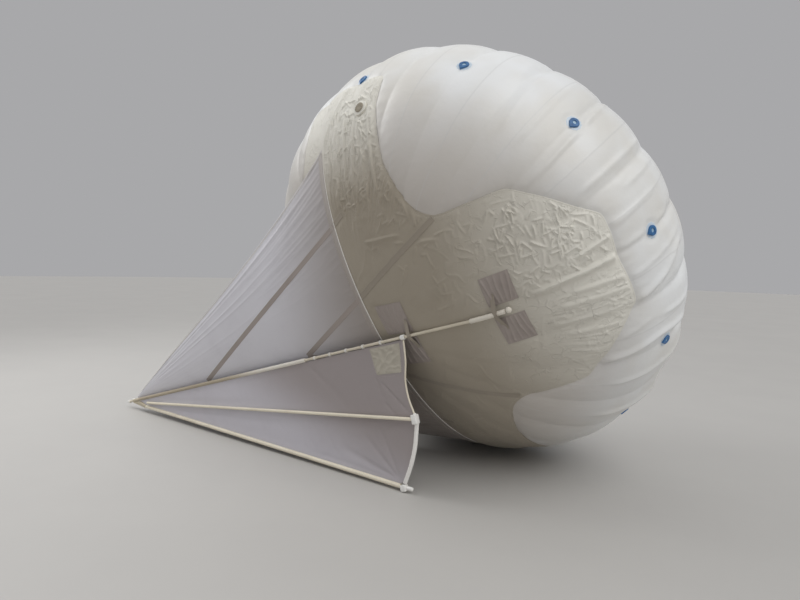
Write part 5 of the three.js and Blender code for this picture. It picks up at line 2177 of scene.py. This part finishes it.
    def cloth(self) -> None:
        """The keel sail's cloth and the patch at its top front corner."""
        outline = self.outline()
        flat, faces = outline.filled(0.0115, outline.corners[[0, 1, 2, -2, -1]])
        points = self.row(flat, self.billow(flat))
        form = thickened(points, faces, flat, self.thickness).outward()
        cloth = self.put(form, "keel_sail_cloth", [Finish.KEEL_SAIL], Slot.SAIL, ["keel_sail"])
        span = tuple(map(float, np.ptp(flat, axis=0)))
        area = surface_area(self.row(flat), faces)
        corner = Outline(np.array(self.patch))
        flat, faces = corner.filled(0.006, corner.corners)
        rumple = Waves(73).ridges(flat[:, 0] / 0.075, flat[:, 1] / 0.06, 3)
        rumple = rumple + 0.5 * Waves(74).smooth(flat[:, 0] / 0.05, flat[:, 1] / 0.05)
        edge = corner.measure(flat)[0]
        side = self.billow(flat) - 0.0022 - 0.0075 * rumple.clip(0, 1) * ease(edge, 0.0, 0.02)
        form = thickened(self.row(flat, side), faces, flat, self.patch_thickness).outward()
        patch = self.put(form, "keel_corner_patch", [Finish.KEEL_PATCH], Slot.HARNESS, ["keel_patch"])
        area = surface_area(self.row(flat), faces)

    def spars(self) -> None:
        """The foot spar and the middle strut, each a wrapped tube with a taped end."""
        for name, node, end, radius, start, stop, side in self.rods:
            way = unit(np.array(end))
            length = float(np.hypot(*end)) - stop - start
            steps = np.linspace(0.03, length - 0.01, 60)
            lumps = 0.0003 * Waves(75).smooth(steps / 0.12, steps * 0)
            profile = [(0, 0), (0, radius * 0.8), (0.002, radius * 0.96), (0.006, radius)]
            profile += [(place, radius + lump) for place, lump in zip(steps, lumps)]
            profile += [(length - 0.001, radius), (length, radius * 0.93), (length, 0)]
            origin = self.row(way * start, side)
            form = turned(profile, origin, self.row(way * (start + 1), side) - origin, 28)
            self.put(form, name, [Finish.ROD], Slot.ROD, [node])

    def leading_edge(self) -> None:
        """The thin upper batten and the padded sleeve below it."""
        upper = self.row(through(self.upper_edge, 60))
        side = self.lie.keel_way(np.array([0, 1.0, 0]))
        batten = swept(upper, side, round_section(0.006, 16))
        self.put(batten, "leading_batten", [Finish.ROD], Slot.ROD, ["upper_batten"])
        lower = self.row(through(self.lower_edge, 90))
        place = np.linspace(0, 1, 90)
        puffs = 1 + 0.05 * Waves(76).smooth(place * 14, place * 0) - 0.06 * bell((place * 5) % 1 - 0.5, 0.06)
        luff = swept(lower, side, round_section(0.0142, 24), puffs)
        self.put(luff, "leading_sleeve", [Finish.LUFF], Slot.SAIL, ["lower_luff"])

    def on_boom(self) -> None:
        """What turns on the boom: the boot at the tail, the cloth sleeve, the lashings and the collar."""
        way = self.lie.keel_way(np.array([1.0, 0, 0]))
        tip = self.row((0.0, 0.0))
        bore, (start, end) = self.bore, self.boot
        boot = [(start, bore), (start, 0.0135), (start + 0.004, 0.0148), (start + 0.05, 0.0152)]
        boot += [(end - 0.03, 0.0151), (end - 0.004, 0.0149), (end, 0.0140), (end, bore)]
        form = Form.joined([turned(boot, tip, way, 32), self.pocket_form()])
        self.put(form, "tail_boot", [Finish.BOOT], Slot.FITTING, ["keel_boot"])
        places = np.linspace(end + 0.0003, self.sleeve_end, 420)
        wrinkle = 0.0011 * Waves(77).ridges(places / 0.028, places * 0, 4) + 0.0004 * np.sin(places * 260)
        wrinkle = wrinkle * ease(places, end, end + 0.03)
        wrinkle = wrinkle * ease(places, self.sleeve_end, self.sleeve_end - 0.03)
        radii = self.sleeve_radius - 0.0005 + wrinkle
        profile = [(places[0], bore), *zip(places, radii), (places[-1], bore)]
        form = turned(profile, tip, way, 24)
        self.put(form, "boom_cloth_sleeve", [Finish.BOOM_SLEEVE], Slot.SAIL, ["boom_sleeve"], 60)
        seed = polyline("lashing_places", [tip + np.multiply.outer(np.array(self.lashings), way)])
        sizes = {"Turns": 5.0, "Radius": 0.0132, "Width": 0.0135, "Cord": 0.0016}
        cords = winding_growth(Finish.CORD.material, tuple(way)).grow("keel_lashing_cords", seed, sizes)
        self.seat(cords, Slot.FITTING)
        rings = []
        for place in self.lashings:
            edge = [(place - 0.008, bore), (place - 0.008, 0.0118), (place - 0.006, 0.0128)]
            edge += [(place + 0.006, 0.0128), (place + 0.008, 0.0118), (place + 0.008, bore)]
            rings.append(turned(edge, tip, way, 28))
        names = ["keel_lashing_%d" % (k + 1) for k in range(len(self.lashings))]
        self.put(Form.joined(rings), "keel_lashing_cuffs", [Finish.FITTING], Slot.FITTING, names)
        half, middle, thick = self.collar_half, self.top, self.collar_radius
        side = [(0.003, thick + 0.0003), (half - 0.003, thick), (half, thick - 0.002), (half, bore)]
        collar = [(-along, radius) for along, radius in reversed(side)] + [(0.0, thick - 0.001), *side]
        form = turned([(middle + along, radius) for along, radius in collar], tip, way, 36)
        self.put(form, "keel_collar_wrap", [Finish.FITTING], Slot.FITTING, ["keel_collar"])

    def pocket_form(self) -> Form:
        """The boot's pocket, which runs down from the boom and holds the foot spar's start."""
        rows = np.array(self.pocket)
        x = np.linspace(rows[0, 0], rows[-1, 0], 40)
        top, bottom = (np.interp(x, rows[:, 0], rows[:, k]) for k in (1, 2))
        turn = even_turn(28)
        over, out = (np.sign(wave) * np.abs(wave) ** 0.62 for wave in (np.sin(turn), np.cos(turn)))
        thick = np.interp(x, rows[[0, 1, -2, -1], 0], [0.0115, 0.0128, 0.0172, 0.0150])
        thick = thick + 0.0006 * Waves(78).smooth(x / 0.012, x * 0)
        up = (top + bottom)[:, None] / 2 + (top - bottom)[:, None] / 2 * over
        local = np.stack([np.broadcast_to(x[:, None], up.shape), thick[:, None] * out, up], -1)
        return ringed(local).charted(0, 2).moved(self.lie.keel)

    def joints(self) -> None:
        """The fitting where the strut meets the leading edge, and the one at the foot with its spur."""
        shift = np.array([self.mid[0], self.mid_side, self.mid[1]])
        tee = block(self.mid_block, 0.006).moved(lambda points: self.lie.keel(points + shift))
        cuffs = []
        half = self.mid_block[2] / 2
        for up, radius in ((half, 0.0105), (-half, 0.0165)):
            base = self.lie.keel(np.array([self.mid[0] - 0.002, 0, self.mid[1] + up]))
            way = self.lie.keel_way(np.array([0, 0, math.copysign(1.0, up)]))
            profile = [(-0.004, 0), (-0.004, radius), (0.004, radius), (0.007, radius * 0.9), (0.007, 0)]
            cuffs.append(turned(profile, base, way, 24))
        self.put(Form.joined([tee, *cuffs]), "mid_joint", [Finish.FITTING], Slot.FITTING, ["mid_fitting"])
        foot = np.array([self.foot[0], 0, self.foot[1]])
        low = foot - [0, 0, self.foot_drop]
        corner = block(self.foot_block, 0.006).moved(lambda points: self.lie.keel(points + low))
        way = self.lie.keel_way(np.array([0.072, 0, -0.020]))
        spur = [(0, 0), (0, 0.014), (0.040, 0.014), (0.062, 0.0135)]
        spur += [(0.071, 0.011), (0.0747, 0.006), (0.0747, 0)]
        form = Form.joined([corner, turned(spur, self.lie.keel(foot), way, 28)])
        self.put(form, "foot_joint", [Finish.FITTING], Slot.FITTING, ["foot_fitting"])

    def stitching(self) -> None:
        """Two rows of stitches along the foot of the sail, and one along its patch."""
        slope = math.atan2(-self.foot[1], self.foot[0])
        along = np.linspace(0.30, 3.16, 200)
        lines = []
        for lift in (0.026, 0.034):
            flat = np.stack([along, -along * math.tan(slope) + lift / math.cos(slope)], -1)
            lines.append(self.row(flat, self.billow(flat) - 0.0012))
        patch = through(self.patch_seam, 80)
        lines.append(self.row(patch, self.billow(patch) - 0.0032))
        self.sew("keel_stitches", lines, Slot.SAIL)

    def build(self) -> None:
        """Makes the keel."""
        self.spars()
        self.cloth()
        self.leading_edge()
        self.on_boom()
        self.joints()
        self.stitching()


@dataclass
class Studio:
    """The floor, the light and the camera."""

    floor_radius: float = 40.0
    place: Triple = (2.41432, -4.09409, 0.01884)
    forward: Triple = (-0.594404, 0.801458, -0.065952)
    right: Triple = (0.802032, 0.596800, 0.023945)
    lens: float = 27.0
    # where the light comes from, its angle in degrees, its strength and colour: from the right and from above
    suns: Rows = (
        ((3.5, -1.1, 4.6), 50, 1.34, (1.0, 0.995, 0.98)),
        ((-1.8, 0.4, 6.0), 80, 0.40, (0.98, 0.99, 1.0)),
    )
    # the lamp that fills the tail sail: its place, the point it faces, its width and height, and its power
    fill: tuple = ((-6.0, -2.0, 4.5), (-1.2, -0.5, 0.0), 4.0, 4.0, 165)
    surround: Triple = (0.80, 0.80, 0.82)
    surround_strength: float = 0.49

    def floor(self, level: float, material: Material) -> None:
        """A wide round floor under the part."""
        shape = bmesh.new()
        bmesh.ops.create_circle(shape, cap_ends=True, segments=96, radius=self.floor_radius)
        bmesh.ops.translate(shape, vec=(0, 0, level), verts=shape.verts)
        mesh = bpy.data.meshes.new("floor")
        shape.to_mesh(mesh)
        shape.free()
        mesh.materials.append(material)
        floor = linked("floor", mesh)
        floor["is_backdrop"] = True

    def light(self) -> None:
        """Soft light from the right and above, a fill from the tail's side, and an even pale surround."""
        for k, (place, angle, strength, colour) in enumerate(self.suns):
            data = bpy.data.lights.new("soft_%d" % (k + 1), "SUN")
            data.angle = math.radians(angle)
            data.energy = strength
            data.color = colour
            self.hang(data, place, (0, 0, 0))
        place, target, width, height, power = self.fill
        data = bpy.data.lights.new("fill", "AREA")
        data.shape = "RECTANGLE"
        data.size, data.size_y, data.energy = width, height, power
        self.hang(data, place, target)
        world = bpy.data.worlds.new("surround")
        world.use_nodes = True
        sky = world.node_tree.nodes["Background"]
        sky.inputs["Color"].default_value = (*self.surround, 1)
        sky.inputs["Strength"].default_value = self.surround_strength
        bpy.context.scene.world = world

    @staticmethod
    def hang(data: bpy.types.Light, place: Sequence[float], target: Sequence[float]) -> None:
        """Puts a light at a place, facing a point."""
        lamp = linked(data.name, data)
        lamp.location = place
        lamp.rotation_euler = (Vector(target) - Vector(place)).to_track_quat("-Z", "Y").to_euler()

    def camera(self) -> None:
        """The camera where the photograph was taken from."""
        data = bpy.data.cameras.new("camera")
        data.lens = self.lens
        data.sensor_fit = "HORIZONTAL"
        data.sensor_width = 36.0
        data.clip_end = 200.0
        forward, right = Vector(self.forward), Vector(self.right)
        axes = Matrix((right, right.cross(forward), -forward)).transposed()
        made = linked("camera", data)
        made.matrix_world = Matrix.Translation(self.place) @ axes.to_4x4()
        bpy.context.scene.camera = made
        bpy.context.scene.view_settings.view_transform = "Standard"

    def build(self, level: float) -> None:
        """Makes the stage with its floor at a level."""
        self.floor(level, FloorFinish().material())
        self.light()
        self.camera()


def main() -> None:
    """Builds the studio and each sub-assembly of the aerostat in order."""
    logging.basicConfig(level=logging.INFO, format="%(name)s: %(message)s")
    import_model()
    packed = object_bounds()
    Studio().build(packed[0][2])
    lie = Lie(Boom(Skin()))
    harness = Harness(lie)
    parts = [harness, Film(lie, harness), RimTabs(lie), FillValve(lie), TailSail(lie, harness), BoomRig(lie)]
    for part in [*parts, Keel(lie)]:
        part.build()


if __name__ == "__main__":
    main()
